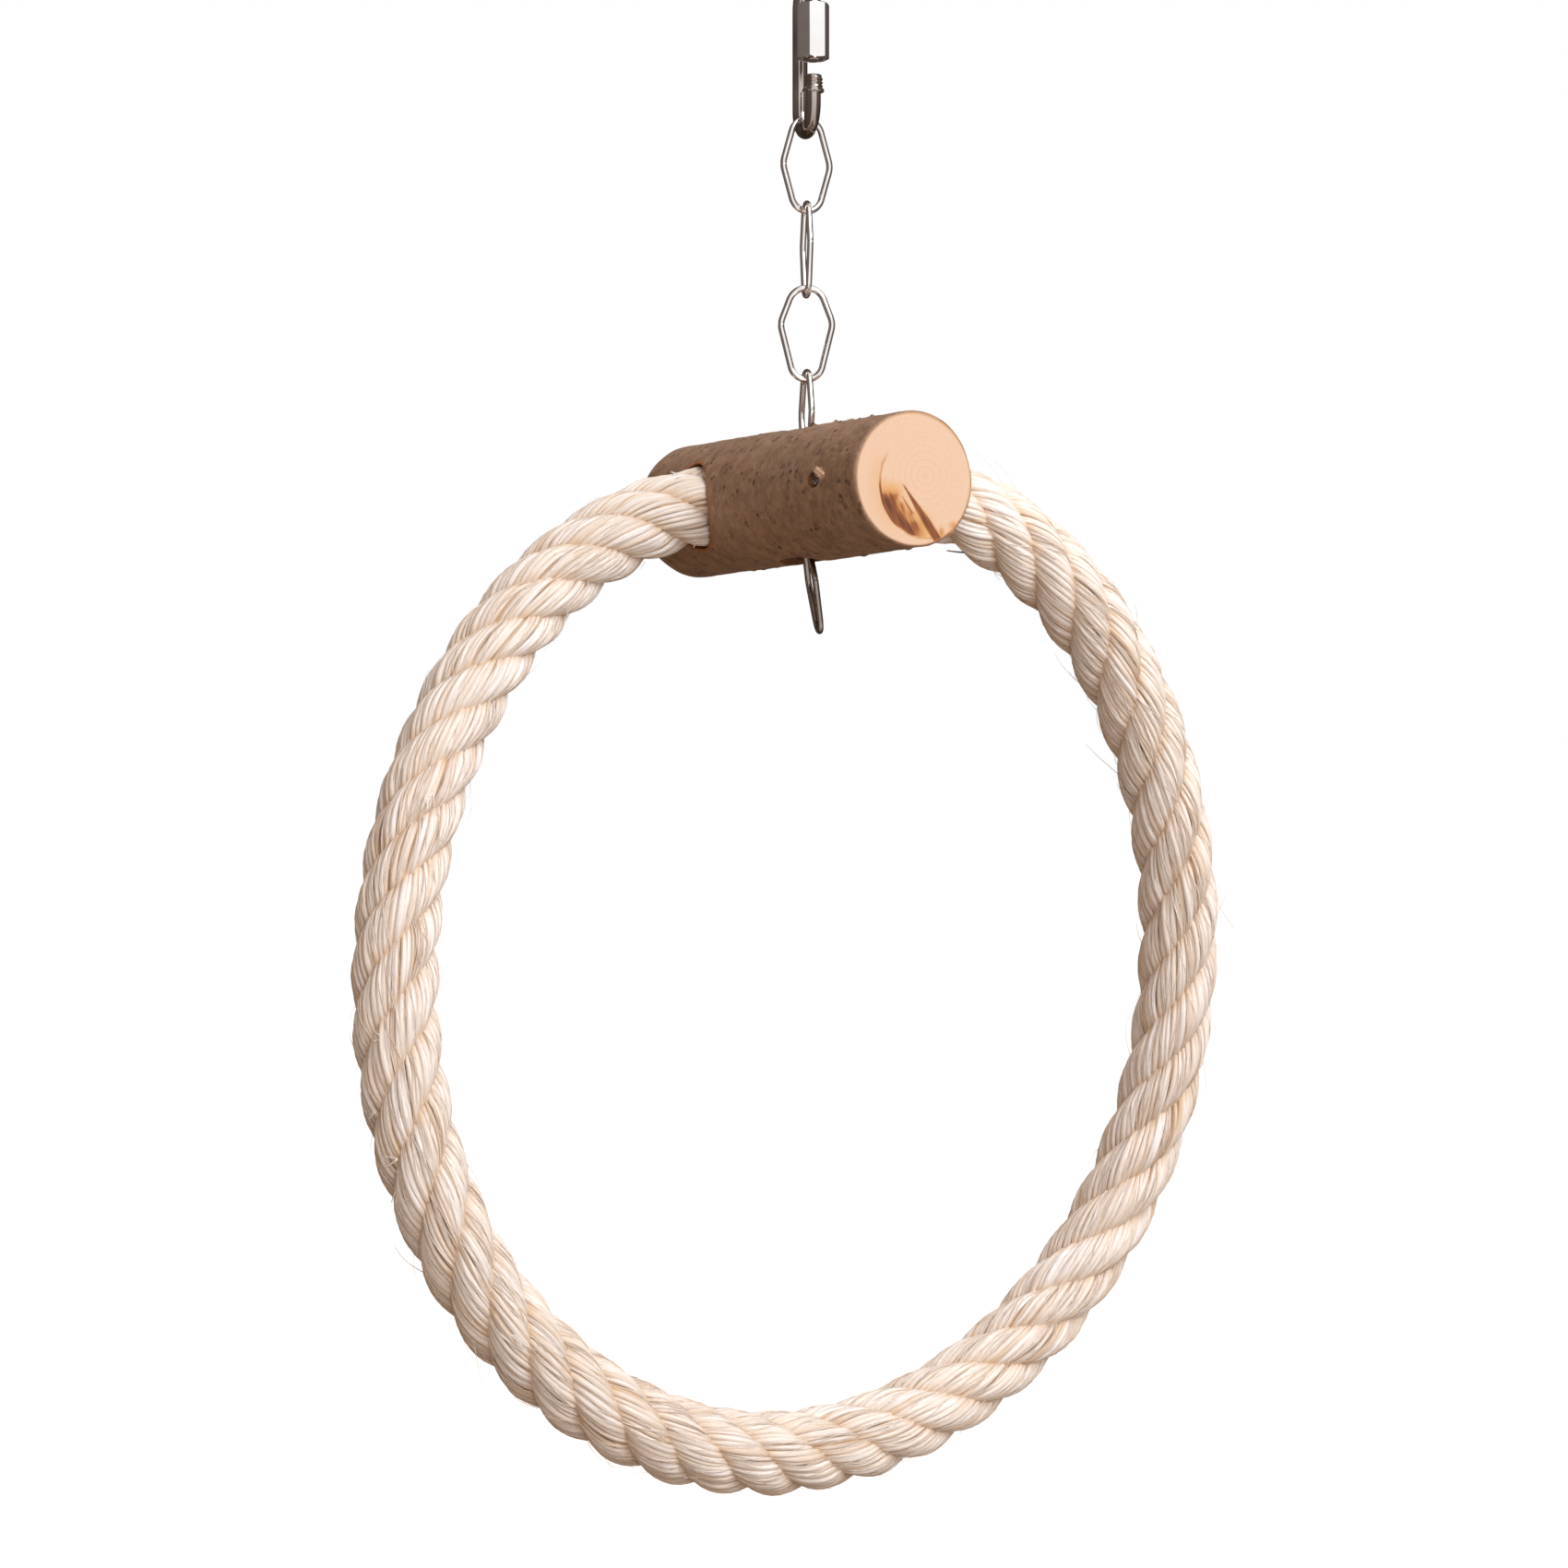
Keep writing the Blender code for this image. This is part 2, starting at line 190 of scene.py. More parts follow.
def mesh_of(obj: bpy.types.Object) -> bpy.types.Mesh:
    """Take an object's mesh with its modifiers and bevels applied.

    Args:
        obj: The object, which stays as it is.

    Returns:
        The new mesh.
    """
    bpy.context.view_layer.update()
    graph = bpy.context.evaluated_depsgraph_get()
    return bpy.data.meshes.new_from_object(obj.evaluated_get(graph))


def new_piece(
    name: str, shape: bmesh.types.BMesh, materials: Sequence[bpy.types.Material], sharp: float = 40.0
) -> bpy.types.Object:
    """Turn a bmesh into a smooth-shaded piece.

    Args:
        name: The piece's name.
        shape: The bmesh, which is freed.
        materials: The piece's materials, in the order of its faces' numbers.
        sharp: The angle in degrees past which an edge stays sharp.

    Returns:
        The new object.
    """
    bmesh.ops.recalc_face_normals(shape, faces=shape.faces)
    mesh = bpy.data.meshes.new(name)
    shape.to_mesh(mesh)
    shape.free()
    for material in materials:
        mesh.materials.append(material)
    mesh.shade_smooth()
    mesh.set_sharp_from_angle(angle=math.radians(sharp))
    return link_object(name, mesh)


def apply_boolean(piece: bpy.types.Object, other: bpy.types.Object, operation: str) -> None:
    """Combine a piece with another object and remove that object.

    Args:
        piece: The object that is changed.
        other: The object that cuts it.
        operation: DIFFERENCE, INTERSECT or UNION.
    """
    modifier = piece.modifiers.new("cut", "BOOLEAN")
    modifier.operation = operation
    modifier.solver = "EXACT"
    modifier.material_mode = "TRANSFER"
    modifier.object = other
    result = mesh_of(piece)
    old = (piece.data, other.data)
    piece.modifiers.clear()
    piece.data = result
    bpy.data.objects.remove(other)
    for mesh in old:
        bpy.data.meshes.remove(mesh)


def add_cone(
    shape: bmesh.types.BMesh, start: Vector, end: Vector, radius: float, end_radius: float, sides: int
) -> list[bmesh.types.BMVert]:
    """Add a closed cone or rod between two points in millimetres.

    Args:
        shape: The bmesh that gets it.
        start: The middle of its first end.
        end: The middle of its last end.
        radius: Its radius at the start.
        end_radius: Its radius at the end.
        sides: The number of its sides.

    Returns:
        Its vertices.
    """
    axis = end - start
    turn = axis.to_track_quat("Z", "Y").to_matrix().to_4x4()
    made = bmesh.ops.create_cone(
        shape,
        cap_ends=True,
        segments=sides,
        radius1=radius * MM,
        radius2=end_radius * MM,
        depth=axis.length * MM,
        matrix=Matrix.Translation((start + end) / 2 * MM) @ turn,
    )
    return made["verts"]


def turned_shape(profile: Sequence[tuple[float, float]], matrix: Matrix, steps: int) -> bmesh.types.BMesh:
    """Turn a profile about its own Z axis and move it to its place.

    Args:
        profile: Radius and height of each corner in millimetres.
        matrix: Where the turned solid goes.
        steps: The number of steps round.

    Returns:
        The closed bmesh.
    """
    shape = bmesh.new()
    points = [shape.verts.new((radius * MM, 0.0, height * MM)) for radius, height in profile]
    edges = [shape.edges.new(pair) for pair in zip(points, points[1:])]
    bmesh.ops.spin(
        shape,
        geom=points + edges,
        cent=(0.0, 0.0, 0.0),
        axis=(0.0, 0.0, 1.0),
        angle=2 * math.pi,
        steps=steps,
        use_merge=True,
    )
    bmesh.ops.remove_doubles(shape, verts=shape.verts, dist=1e-6)
    bmesh.ops.transform(shape, matrix=matrix, verts=shape.verts)
    return shape


def attach(piece: bpy.types.Object, body: str, slot: Slot, *nodes: str) -> None:
    """Let a piece ride on a CAD body in place of CAD nodes, and report it.

    Args:
        piece: The new piece.
        body: The body's name.
        slot: The material slot that the piece belongs to; it is not used.
        nodes: The CAD nodes that it stands for.
    """
    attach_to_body(piece, body)
    if nodes:
        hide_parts(*nodes)
    REPORT.info("%s on %s: %d faces", piece.name, body, len(piece.data.polygons))


@dataclass
class Line:
    """A line of points in millimetres with a radius at each point."""

    points: Sequence[Vector] | np.ndarray
    radii: Sequence[float] | np.ndarray


def sweep(name: str, lines: Sequence[Line], resolution: int) -> bmesh.types.BMesh:
    """Sweep a round section along lines and close the ends.

    Args:
        name: A name for the sweep's curve.
        lines: The lines; the vertices follow them ring by ring.
        resolution: The curve's bevel resolution, for 2 * resolution + 4 sides.

    Returns:
        The bmesh of all the closed tubes.
    """
    curve = bpy.data.curves.new(name, "CURVE")
    curve.dimensions = "3D"
    curve.bevel_depth = MM
    curve.bevel_resolution = resolution
    for line in lines:
        spline = curve.splines.new("POLY")
        spline.points.add(len(line.points) - 1)
        places = np.ones((len(line.points), 4), np.float32)
        places[:, :3] = np.array(line.points) * MM
        spline.points.foreach_set("co", places.ravel())
        spline.points.foreach_set("radius", np.array(line.radii, np.float32))
    helper = link_object(name, curve)
    mesh = mesh_of(helper)
    bpy.data.objects.remove(helper)
    bpy.data.curves.remove(curve)
    shape = bmesh.new()
    shape.from_mesh(mesh)
    bpy.data.meshes.remove(mesh)
    open_edges = [edge for edge in shape.edges if edge.is_boundary]
    bmesh.ops.holes_fill(shape, edges=open_edges, sides=0)
    shape.verts.ensure_lookup_table()
    return shape


# Finishes


@dataclass(frozen=True)
class PolishedSteel:
    """Tumble-polished stainless steel: a warm grey mirror with faint smears, darker and browner low down if
    asked.
    """

    name: str
    colour: str
    darker_tone: str
    roughness: tuple[float, float]
    smear_mm: float
    low_brown: str = "#86766C"
    plain_above: float = 0.0
    browner_below: float = 0.0

    def make(self) -> bpy.types.Material:
        """Make the finish.

        Returns:
            The new material.
        """
        material, tree, shader = new_material(self.name)
        place = add_node(tree, "TexCoord", out="Object")
        smears = add_node(tree, "TexNoise", {"Vector": place, "Scale": per_mm(self.smear_mm), "Detail": 3.0})
        tone = add_node(tree, "ValToRGB", (smears,), stops=((0.40, self.colour), (0.72, self.darker_tone)))
        # Darker and browner towards the bottom, between two heights
        if self.browner_below < self.plain_above:
            height = add_node(tree, "SeparateXYZ", (place,), "Z")
            share = add_node(tree, "MapRange", (height, self.plain_above * MM, self.browner_below * MM))
            browned = {SHARE: share, UNDER: tone, OVER: linear(self.low_brown)}
            tone = add_node(tree, "Mix", browned, **COLOUR_MIX)
        gloss = add_node(tree, "MapRange", (smears, 0.35, 0.75, *self.roughness))
        feed(shader, {"Base Color": tone, "Metallic": 1.0, "Roughness": gloss})
        return material


@dataclass(frozen=True)
class HazelBark:
    """Young hazel bark: a brown, satin skin with fine lines round the stem, dark pores and corky rings."""

    name: str = "hazel_bark"
    dark: str = "#8D6E57"
    brown: str = "#A78368"
    light: str = "#BD987C"
    grey: str = "#AE9684"
    line: str = "#9C9C9C"
    pore: str = "#33201A"
    torn: str = "#B2672C"
    patch_mm: float = 4.5
    weather_mm: float = 13.95
    # Real bark has finer lines, which wouldn't show at the picture's size
    line_mm: float = 0.55
    pore_mm: float = 3.3
    group_mm: float = 7.92
    ring_mm: float = 5.5
    relief_mm: float = 0.25

    def make(self) -> bpy.types.Material:
        """Make the finish.

        Returns:
            The new material.
        """
        material, tree, shader = new_material(self.name)
        place = add_node(tree, "TexCoord", out="Object")
        # Brown patches, weathered grey here and there
        skin = {"Vector": place, "Scale": per_mm(self.patch_mm), "Detail": 8.0, "Roughness": 0.62}
        patches = add_node(tree, "TexNoise", skin)
        browns = ((0.30, self.dark), (0.50, self.brown), (0.72, self.light))
        tone = add_node(tree, "ValToRGB", (patches,), stops=browns)
        weather = {"Vector": place, "Scale": per_mm(self.weather_mm), "Detail": 3.0}
        weathered = add_node(tree, "MapRange", (add_node(tree, "TexNoise", weather), 0.50, 0.78, 0.0, 0.35))
        tone = add_node(tree, "Mix", {SHARE: weathered, UNDER: tone, OVER: linear(self.grey)}, **COLOUR_MIX)
        # Fine lines round the stem
        along = add_node(tree, "Mapping", {"Vector": place, "Scale": (0.4, 1.0, 0.4)})
        fine = {"Vector": along, "Scale": per_mm(self.line_mm), "Detail": 4.0, "Roughness": 0.6}
        lines = add_node(tree, "TexNoise", fine)
        shade = add_node(tree, "ValToRGB", (lines,), stops=((0.30, self.line), (0.62, WHITE)))
        multiply = {**COLOUR_MIX, "blend_type": "MULTIPLY"}
        tone = add_node(tree, "Mix", {SHARE: 0.45, UNDER: tone, OVER: shade}, **multiply)
        # Pores and corky rings, which stand in groups
        group = {"Vector": place, "Scale": per_mm(self.group_mm), "Detail": 2.0}
        grouped = add_node(tree, "MapRange", (add_node(tree, "TexNoise", group), 0.46, 0.60, 0.0, 0.85))
        pores = add_node(tree, "TexVoronoi", {"Vector": place, "Scale": per_mm(self.pore_mm)})
        pores = add_node(tree, "Math", (lines, -0.36, pores), operation="MULTIPLY_ADD")
        pores = add_node(tree, "MapRange", (pores, -0.03, 0.16, 1.0, 0.0))
        pores = add_node(tree, "Math", (pores, grouped), operation="MULTIPLY")
        rings = add_node(tree, "TexVoronoi", {"Vector": place, "Scale": per_mm(self.ring_mm)})
        rings = add_node(tree, "Math", (lines, 0.28, rings), operation="MULTIPLY_ADD")
        rings = add_node(tree, "Math", (rings, 0.36, 0.07), operation="COMPARE")
        rings = add_node(tree, "Math", (rings, grouped), operation="MULTIPLY")
        rings = add_node(tree, "Math", (rings, 0.6), operation="MULTIPLY")
        pores = add_node(tree, "Math", (pores, rings), operation="MAXIMUM")
        marks = add_node(tree, "Attribute", attribute_name="marks")
        # The bark is torn to its orange inner layer round the bores
        torn = add_node(tree, "SeparateColor", (marks,), "Red")
        for share, code in ((pores, self.pore), (torn, self.torn)):
            tone = add_node(tree, "Mix", {SHARE: share, UNDER: tone, OVER: linear(code)}, **COLOUR_MIX)
        # The lines and the pores also stand out a little
        height = add_node(tree, "Math", (lines, 0.5, pores), operation="MULTIPLY_ADD")
        bump = {"Height": height, "Strength": 0.55, "Distance": self.relief_mm * MM}
        relief = add_node(tree, "Bump", bump)
        gloss = add_node(tree, "MapRange", (lines, 0.3, 0.7, 0.78, 0.58))
        feed(shader, {"Base Color": tone, "Roughness": gloss, "Normal": relief, "IOR": 1.48})
        return material


@dataclass(frozen=True)
class SawnHazel:
    """Fresh-sawn hazel end grain: pale peach wood, faint growth rings and a brown stain by the heart."""

    name: str = "sawn_hazel"
    wood: str = "#DDBA9B"
    late: str = "#CFA27A"
    honey: str = "#D5994F"
    stain: str = "#97541F"
    deep: str = "#522811"
    rim: str = "#B98352"
    fleck: str = "#EDE3DA"
    ring_mm: float = 2.3
    waver_mm: float = 11.0
    clear_mm: tuple[float, float] = (3.0, 14.0)
    # The pores of hazel are finer, and are drawn as coarse as they need to show
    fleck_mm: float = 0.35
    stroke_mm: float = 0.7
    relief_mm: float = 0.15
    pith: tuple[float, float] = (4.2, 1.3)
    axis_height: float = -172.5

    def make(self) -> bpy.types.Material:
        """Make the finish.

        Returns:
            The new material.
        """
        material, tree, shader = new_material(self.name)
        place = add_node(tree, "TexCoord", out="Object")
        # Growth rings about the pith, clearer near it
        heart = (-self.pith[0] * MM, 0.0, -(self.axis_height + self.pith[1]) * MM)
        flat = add_node(tree, "Mapping", {"Vector": place, "Location": heart, "Scale": (1.0, 0.0, 1.0)})
        waver = add_node(tree, "TexNoise", {"Vector": place, "Scale": per_mm(self.waver_mm), "Detail": 3.0})
        reach = add_node(tree, "VectorMath", (flat,), "Value", operation="LENGTH")
        rings = add_node(tree, "Math", (reach, per_mm(self.ring_mm), waver), operation="MULTIPLY_ADD")
        cycle = add_node(tree, "Math", (rings,), operation="FRACT")
        year = ((0.0, self.wood), (0.72, self.wood), (0.93, self.late), (1.0, self.wood))
        ringed = add_node(tree, "ValToRGB", (cycle,), stops=year)
        near, far = self.clear_mm
        clear = add_node(tree, "MapRange", (reach, near * MM, far * MM, 0.42, 0.10))
        tone = add_node(tree, "Mix", {SHARE: clear, UNDER: linear(self.wood), OVER: ringed}, **COLOUR_MIX)
        marks = add_node(tree, "Attribute", attribute_name="marks")
        # The stain and the bark's rim, as the log stores them
        brown, honey, rim = add_node(tree, "SeparateColor", (marks,)).node.outputs
        browns = ((0.0, self.honey), (0.55, self.stain), (1.0, self.deep))
        stain = add_node(tree, "ValToRGB", (brown,), stops=browns)
        cover = add_node(tree, "MapRange", (brown, 0.0, 0.5))
        for share, colour in ((honey, linear(self.honey)), (cover, stain), (rim, linear(self.rim))):
            tone = add_node(tree, "Mix", {SHARE: share, UNDER: tone, OVER: colour}, **COLOUR_MIX)
        # Flecks of cut pores, and the strokes of the saw
        flecks = add_node(tree, "TexNoise", {"Vector": place, "Scale": per_mm(self.fleck_mm), "Detail": 3.0})
        speck = add_node(tree, "ValToRGB", (flecks,), stops=((0.25, self.fleck), (0.55, WHITE)))
        multiply = {**COLOUR_MIX, "blend_type": "MULTIPLY"}
        tone = add_node(tree, "Mix", {SHARE: 0.8, UNDER: tone, OVER: speck}, **multiply)
        cut = {"Vector": place, "Rotation": (0.0, 0.5, 0.0), "Scale": (1.0, 0.0, 0.04)}
        saw = add_node(tree, "Mapping", cut)
        strokes = add_node(tree, "TexNoise", {"Vector": saw, "Scale": per_mm(self.stroke_mm), "Detail": 2.0})
        height = add_node(tree, "Math", (strokes, 0.6, flecks), operation="MULTIPLY_ADD")
        bump = {"Height": height, "Strength": 0.22, "Distance": self.relief_mm * MM}
        relief = add_node(tree, "Bump", bump)
        feed(shader, {"Base Color": tone, "Roughness": 0.62, "Normal": relief, "IOR": 1.5})
        return material


@dataclass(frozen=True)
class BoredHazel:
    """Drilled hazel: torn orange-brown wood fibres, painted dark as the shade inside the slot and the bores.
    """

    name: str = "bored_hazel"
    wood: str = "#8E5F38"
    shaded_fibre: str = "#4F3119"
    # Torn wood fibres are finer, and are drawn as coarse as they need to show
    fibre_mm: float = 0.6
    relief_mm: float = 0.3

    def make(self) -> bpy.types.Material:
        """Make the finish.

        Returns:
            The new material.
        """
        material, tree, shader = new_material(self.name)
        place = add_node(tree, "TexCoord", out="Object")
        along = add_node(tree, "Mapping", {"Vector": place, "Scale": (1.0, 0.15, 1.0)})
        fibres = add_node(tree, "TexNoise", {"Vector": along, "Scale": per_mm(self.fibre_mm), "Detail": 4.0})
        # Both browns are painted darker than drilled hazel is, as shade inside the slot and the bores
        tone = add_node(tree, "ValToRGB", (fibres,), stops=((0.32, self.shaded_fibre), (0.66, self.wood)))
        bump = {"Height": fibres, "Strength": 0.6, "Distance": self.relief_mm * MM}
        relief = add_node(tree, "Bump", bump)
        feed(shader, {"Base Color": tone, "Roughness": 0.75, "Normal": relief})
        return material


@dataclass(frozen=True)
class LaidSisal:
    """Combed sisal yarn: pale silky fibres along each yarn, straw coloured down in the grooves, which is
    partly golden yarns and partly painted shade.
    """

    name: str = "laid_sisal"
    pale: str = "#FCF5F0"
    straw: str = "#F4E6D6"
    gold_and_groove_shade: str = "#C99B60"
    shadow: str = "#D6B78F"
    dark: str = "#3A2A20"
    # A sisal fibre is about half as thick, which wouldn't show at the picture's size
    fibre_mm: float = 0.5
    run_mm: float = 14.0
    relief_mm: float = 0.25

    def make(self) -> bpy.types.Material:
        """Make the finish.

        Returns:
            The new material.
        """
        material, tree, shader = new_material(self.name)
        along = add_node(tree, "Attribute", out="Vector", attribute_name="fibre")
        close = (1 / self.fibre_mm, 1 / self.fibre_mm, 1 / self.run_mm)
        drawn = add_node(tree, "Mapping", {"Vector": along, "Scale": close})
        fibres = add_node(tree, "TexNoise", {"Vector": drawn, "Scale": 1.0, "Detail": 3.0, "Roughness": 0.6})
        streak = add_node(tree, "MapRange", (fibres, 0.54, 0.30, 0.0, 0.6))
        tones = add_node(tree, "Attribute", attribute_name="tone")
        straw, gold_and_groove_shade, dark = add_node(tree, "SeparateColor", (tones,)).node.outputs
        tone = linear(self.pale)
        # The golden colour stands partly for golden yarns and partly for painted shade in the grooves
        # between strands
        covers = ((straw, self.straw), (gold_and_groove_shade, self.gold_and_groove_shade), (streak, self.shadow), (dark, self.dark))
        for share, code in covers:
            tone = add_node(tree, "Mix", {SHARE: share, UNDER: tone, OVER: linear(code)}, **COLOUR_MIX)
        bump = {"Height": fibres, "Strength": 0.8, "Distance": self.relief_mm * MM}
        relief = add_node(tree, "Bump", bump)
        feed(shader, {"Base Color": tone, "Roughness": 0.58, "Normal": relief, "IOR": 1.53})
        feed(shader, {"Sheen Weight": 0.12, "Sheen Roughness": 0.4})
        return material


# Sub-assemblies


@dataclass
class StrandPath:
    """A strand's middles, its outward and sideways directions, and its yarns' turning, at each station."""

    middles: np.ndarray
    outward: np.ndarray
    sideways: np.ndarray
    turning: np.ndarray

    def stretch(self, first: int, count: int) -> "StrandPath":
        """Return so many stations of the path, from the first one on."""
        part = slice(first, first + count)
        return StrandPath(self.middles[part], self.outward[part], self.sideways[part], self.turning[part])


@dataclass(frozen=True)
class Tuft:
    """A few broken fibres that stand up together on the rope.

    It is placed by its distance along the rope and its angle about it. Its fibres lean from the rope's own
    way and fan out by so many degrees.
    """

    distance: float
    angle: float
    count: int
    lean: float = 0.0
    fan: float = 0.0
    length: float = 7.8


@dataclass
class SisalRope:
    """The four-strand rope that hangs as a ring from the log.

    The strands' turn, in radians, is a power series of the place along the rope, from -1 to 1, because the
    rope is laid tighter in its left half than in its right. The yarns' lean, in degrees from the rope's own
    way, is given at its middle and as the change from there to its right end. A stray fibre's length is
    given as the shortest, the mean past it and the longest.
    """

    diameter: float = 28.2
    strands: int = 4
    strand_depth: float = 7.4
    strand_width: float = 7.9
    turn_terms: tuple[float, ...] = (35.67, 36.68, -4.01, 0.40, 1.89)
    yarns: int = 24
    yarn_radius: float = 1.1
    yarn_lean: tuple[float, float] = (0.0, -5.0)
    yarn_shift: float = 0.2
    yarn_lift: float = 0.13
    yarn_thickness: tuple[float, float] = (0.72, 1.25)
    drift_run: float = 26.0
    swell_run: float = 9.0
    core_share: float = 0.95
    half_width: float = 146.0
    half_height: float = 163.0
    pear: float = 0.095
    turn: float = 0.134
    bore_offset: float = 44.1
    bore_start: float = math.radians(5.5)
    past_axis: float = 9.7
    axis_height: float = -172.5
    station: float = 3.0
    ring_steps: int = 240
    end_steps: int = 12
    hidden_stations: int = 14
    surface_fibres: int = 900
    surface_stations: tuple[int, int] = (7, 20)
    surface_radius: tuple[float, float] = (0.10, 0.22)
    stray_fibres: int = 620
    stray_length: tuple[float, float, float] = (2.5, 4.5, 20.0)
    stray_radius: tuple[float, float] = (0.09, 0.14)
    tuft_radius: tuple[float, float] = (0.22, 0.38)
    tuft_spacing: float = 0.36
    fibre_points: int = 7
    yarn_seed: int = 40
    fibre_seed: int = 7
    tufts: tuple[Tuft, ...] = (
        Tuft(36.0, 128.0, 3, lean=-20.0, fan=40.0, length=3.4),
        Tuft(36.0, 240.0, 4, lean=20.0, fan=30.0, length=4.6),
        Tuft(190.0, 203.0, 8),
        Tuft(270.0, 234.0, 3, lean=80.0, fan=70.0, length=3.0),
        Tuft(291.0, 266.0, 2, lean=65.0, fan=20.0, length=4.0),
        Tuft(306.0, 247.0, 2, lean=92.0, fan=50.0, length=4.4),
        Tuft(315.0, 262.0, 2, lean=50.0, fan=20.0, length=4.6),
        Tuft(318.0, 242.0, 1, lean=88.0, length=5.0),
        Tuft(369.0, 215.0, 3),
    )
    bristle: Tuft = Tuft(948.0, 118.0, 2)

    def ring_point(self, u: float) -> Vector:
        """Return a point of the ring's left half.

        Args:
            u: The place on it, from 0 at the log to pi at the bottom.

        Returns:
            The point, in millimetres.
        """
        upper = (1 + math.cos(u)) / 2
        x = -self.half_width * math.sin(u) * (1 - self.pear * math.cos(u))
        y = self.bore_offset * upper + self.turn * x * (1 - upper)
        return Vector((x, y, self.axis_height - self.half_height * (1 - math.cos(u))))

    def rough_line(self) -> list[Vector]:
        """Return the centre line before it is spaced evenly.

        Returns:
            Close points from the left bore round the ring to the right one, with a straight end in each.
        """
        arc = math.pi - self.bore_start
        places = [self.bore_start + arc * i / self.ring_steps for i in range(self.ring_steps + 1)]
        half = [self.ring_point(u) for u in places]
        inward = (half[0] - half[1]).normalized()
        reach = (self.past_axis - half[0].x) / inward.x
        steps = range(self.end_steps, 0, -1)
        left = [half[0] + inward * reach * step / self.end_steps for step in steps] + half
        return left + [Vector((-p.x, -p.y, p.z)) for p in reversed(left[:-1])]

    def centre_line(self) -> list[Vector]:
        """Return the centre line.

        Returns:
            Its points at even stations, in millimetres.
        """
        rough = np.array(self.rough_line())
        lengths = np.concatenate([[0.0], np.cumsum(np.linalg.norm(np.diff(rough, axis=0), axis=1))])
        count = round(lengths[-1] / self.station) + 1
        even = np.linspace(0.0, lengths[-1], count)
        places = np.stack([np.interp(even, lengths, rough[:, k]) for k in range(3)], axis=1)
        return [Vector(place) for place in places]

    def frames(self, line: list[Vector]) -> tuple[np.ndarray, np.ndarray]:
        """Carry a pair of cross directions along the line without twist.

        Args:
            line: The centre line.

        Returns:
            The first and the second unit direction at each station.
        """
        firsts, seconds = [], []
        first = Vector((0.0, 1.0, 0.0))
        for i in range(len(line)):
            ahead = (line[min(i + 1, len(line) - 1)] - line[max(i - 1, 0)]).normalized()
            first = (first - ahead * first.dot(ahead)).normalized()
            firsts.append(first.copy())
            seconds.append(ahead.cross(first))
        return np.array(firsts), np.array(seconds)

    def strand_path(self, index: int, line: list[Vector]) -> StrandPath:
        """Lay one strand round the centre line.

        Args:
            index: The strand's number.
            line: The rope's centre line.

        Returns:
            The strand's path.
        """
        share = np.linspace(-1.0, 1.0, len(line))
        start = 2 * math.pi * index / self.strands
        angle = np.polynomial.polynomial.polyval(share, self.turn_terms) + start
        first, second = self.frames(line)
        outward = first * np.cos(angle)[:, None] + second * np.sin(angle)[:, None]
        sideways = second * np.cos(angle)[:, None] - first * np.sin(angle)[:, None]
        middles = np.array(line) + outward * (self.diameter / 2 - self.strand_depth)
        crest = self.diameter / 2 - self.yarn_radius
        slope = np.tan(np.radians(self.yarn_lean[0] + self.yarn_lean[1] * share))
        rate = (slope - crest * np.gradient(angle, self.station)) / (self.strand_width - self.yarn_radius)
        return StrandPath(middles, outward, sideways, np.cumsum(rate) * self.station)

    def on_strand(self, path: StrandPath, around: np.ndarray, lift: np.ndarray) -> np.ndarray:
        """Return points round a strand.

        Args:
            path: The strand's path, or a stretch of it.
            around: The angle about the strand at each station, from the rope's outside.
            lift: The height at each station above the middles of the yarns.

        Returns:
            The points, in millimetres.
        """
        deep = (self.strand_depth - self.yarn_radius + lift) * np.cos(around)
        wide = (self.strand_width - self.yarn_radius + lift) * np.sin(around)
        return path.middles + path.outward * deep[:, None] + path.sideways * wide[:, None]

    def paint(self, piece: bpy.types.Object, fibre: np.ndarray, tone: np.ndarray) -> None:
        """Store what the sisal finish reads.

        Args:
            piece: The rope piece.
            fibre: A place across and along the fibres for each vertex, in millimetres.
            tone: The straw share, the share of golden colour that also paints shade in the grooves, and the
                dark share for each vertex.
        """
        store = piece.data.attributes.new("fibre", "FLOAT_VECTOR", "POINT")
        store.data.foreach_set("vector", fibre.astype(np.float32).ravel())
        colour = np.column_stack([tone, np.ones(len(tone))])
        store = piece.data.attributes.new("tone", "FLOAT_COLOR", "POINT")
        store.data.foreach_set("color", colour.astype(np.float32).ravel())

    def wander(self, seed: Vector, run: float, stations: int) -> np.ndarray:
        """Return a smooth random course along the rope.

        Args:
            seed: Its own place in the noise.
            run: The length of its waves in millimetres.
            stations: The number of its stations.

        Returns:
            A value from -1 to 1 at each station.
        """
        places = [seed + Vector((0.0, 0.0, i * self.station / run)) for i in range(stations)]
        return np.array([noise.noise(place) for place in places])

    def strand_piece(self, index: int, path: StrandPath, material: bpy.types.Material) -> bpy.types.Object:
        """Make one strand: cores side by side and the yarns round them.

        Args:
            index: The strand's number.
            path: The strand's path.
            material: The sisal.

        Returns:
            The strand.
        """
        chance = random.Random(self.yarn_seed + index)
        stations = len(path.turning)
        core = [self.core_share * (self.strand_depth - self.yarn_radius)] * stations
        spread = path.sideways * (self.strand_width - self.strand_depth)
        lines = [Line(path.middles + spread * side, core) for side in (-1, 0, 1)]
        tones = [np.full(stations, 0.5) for _ in lines]
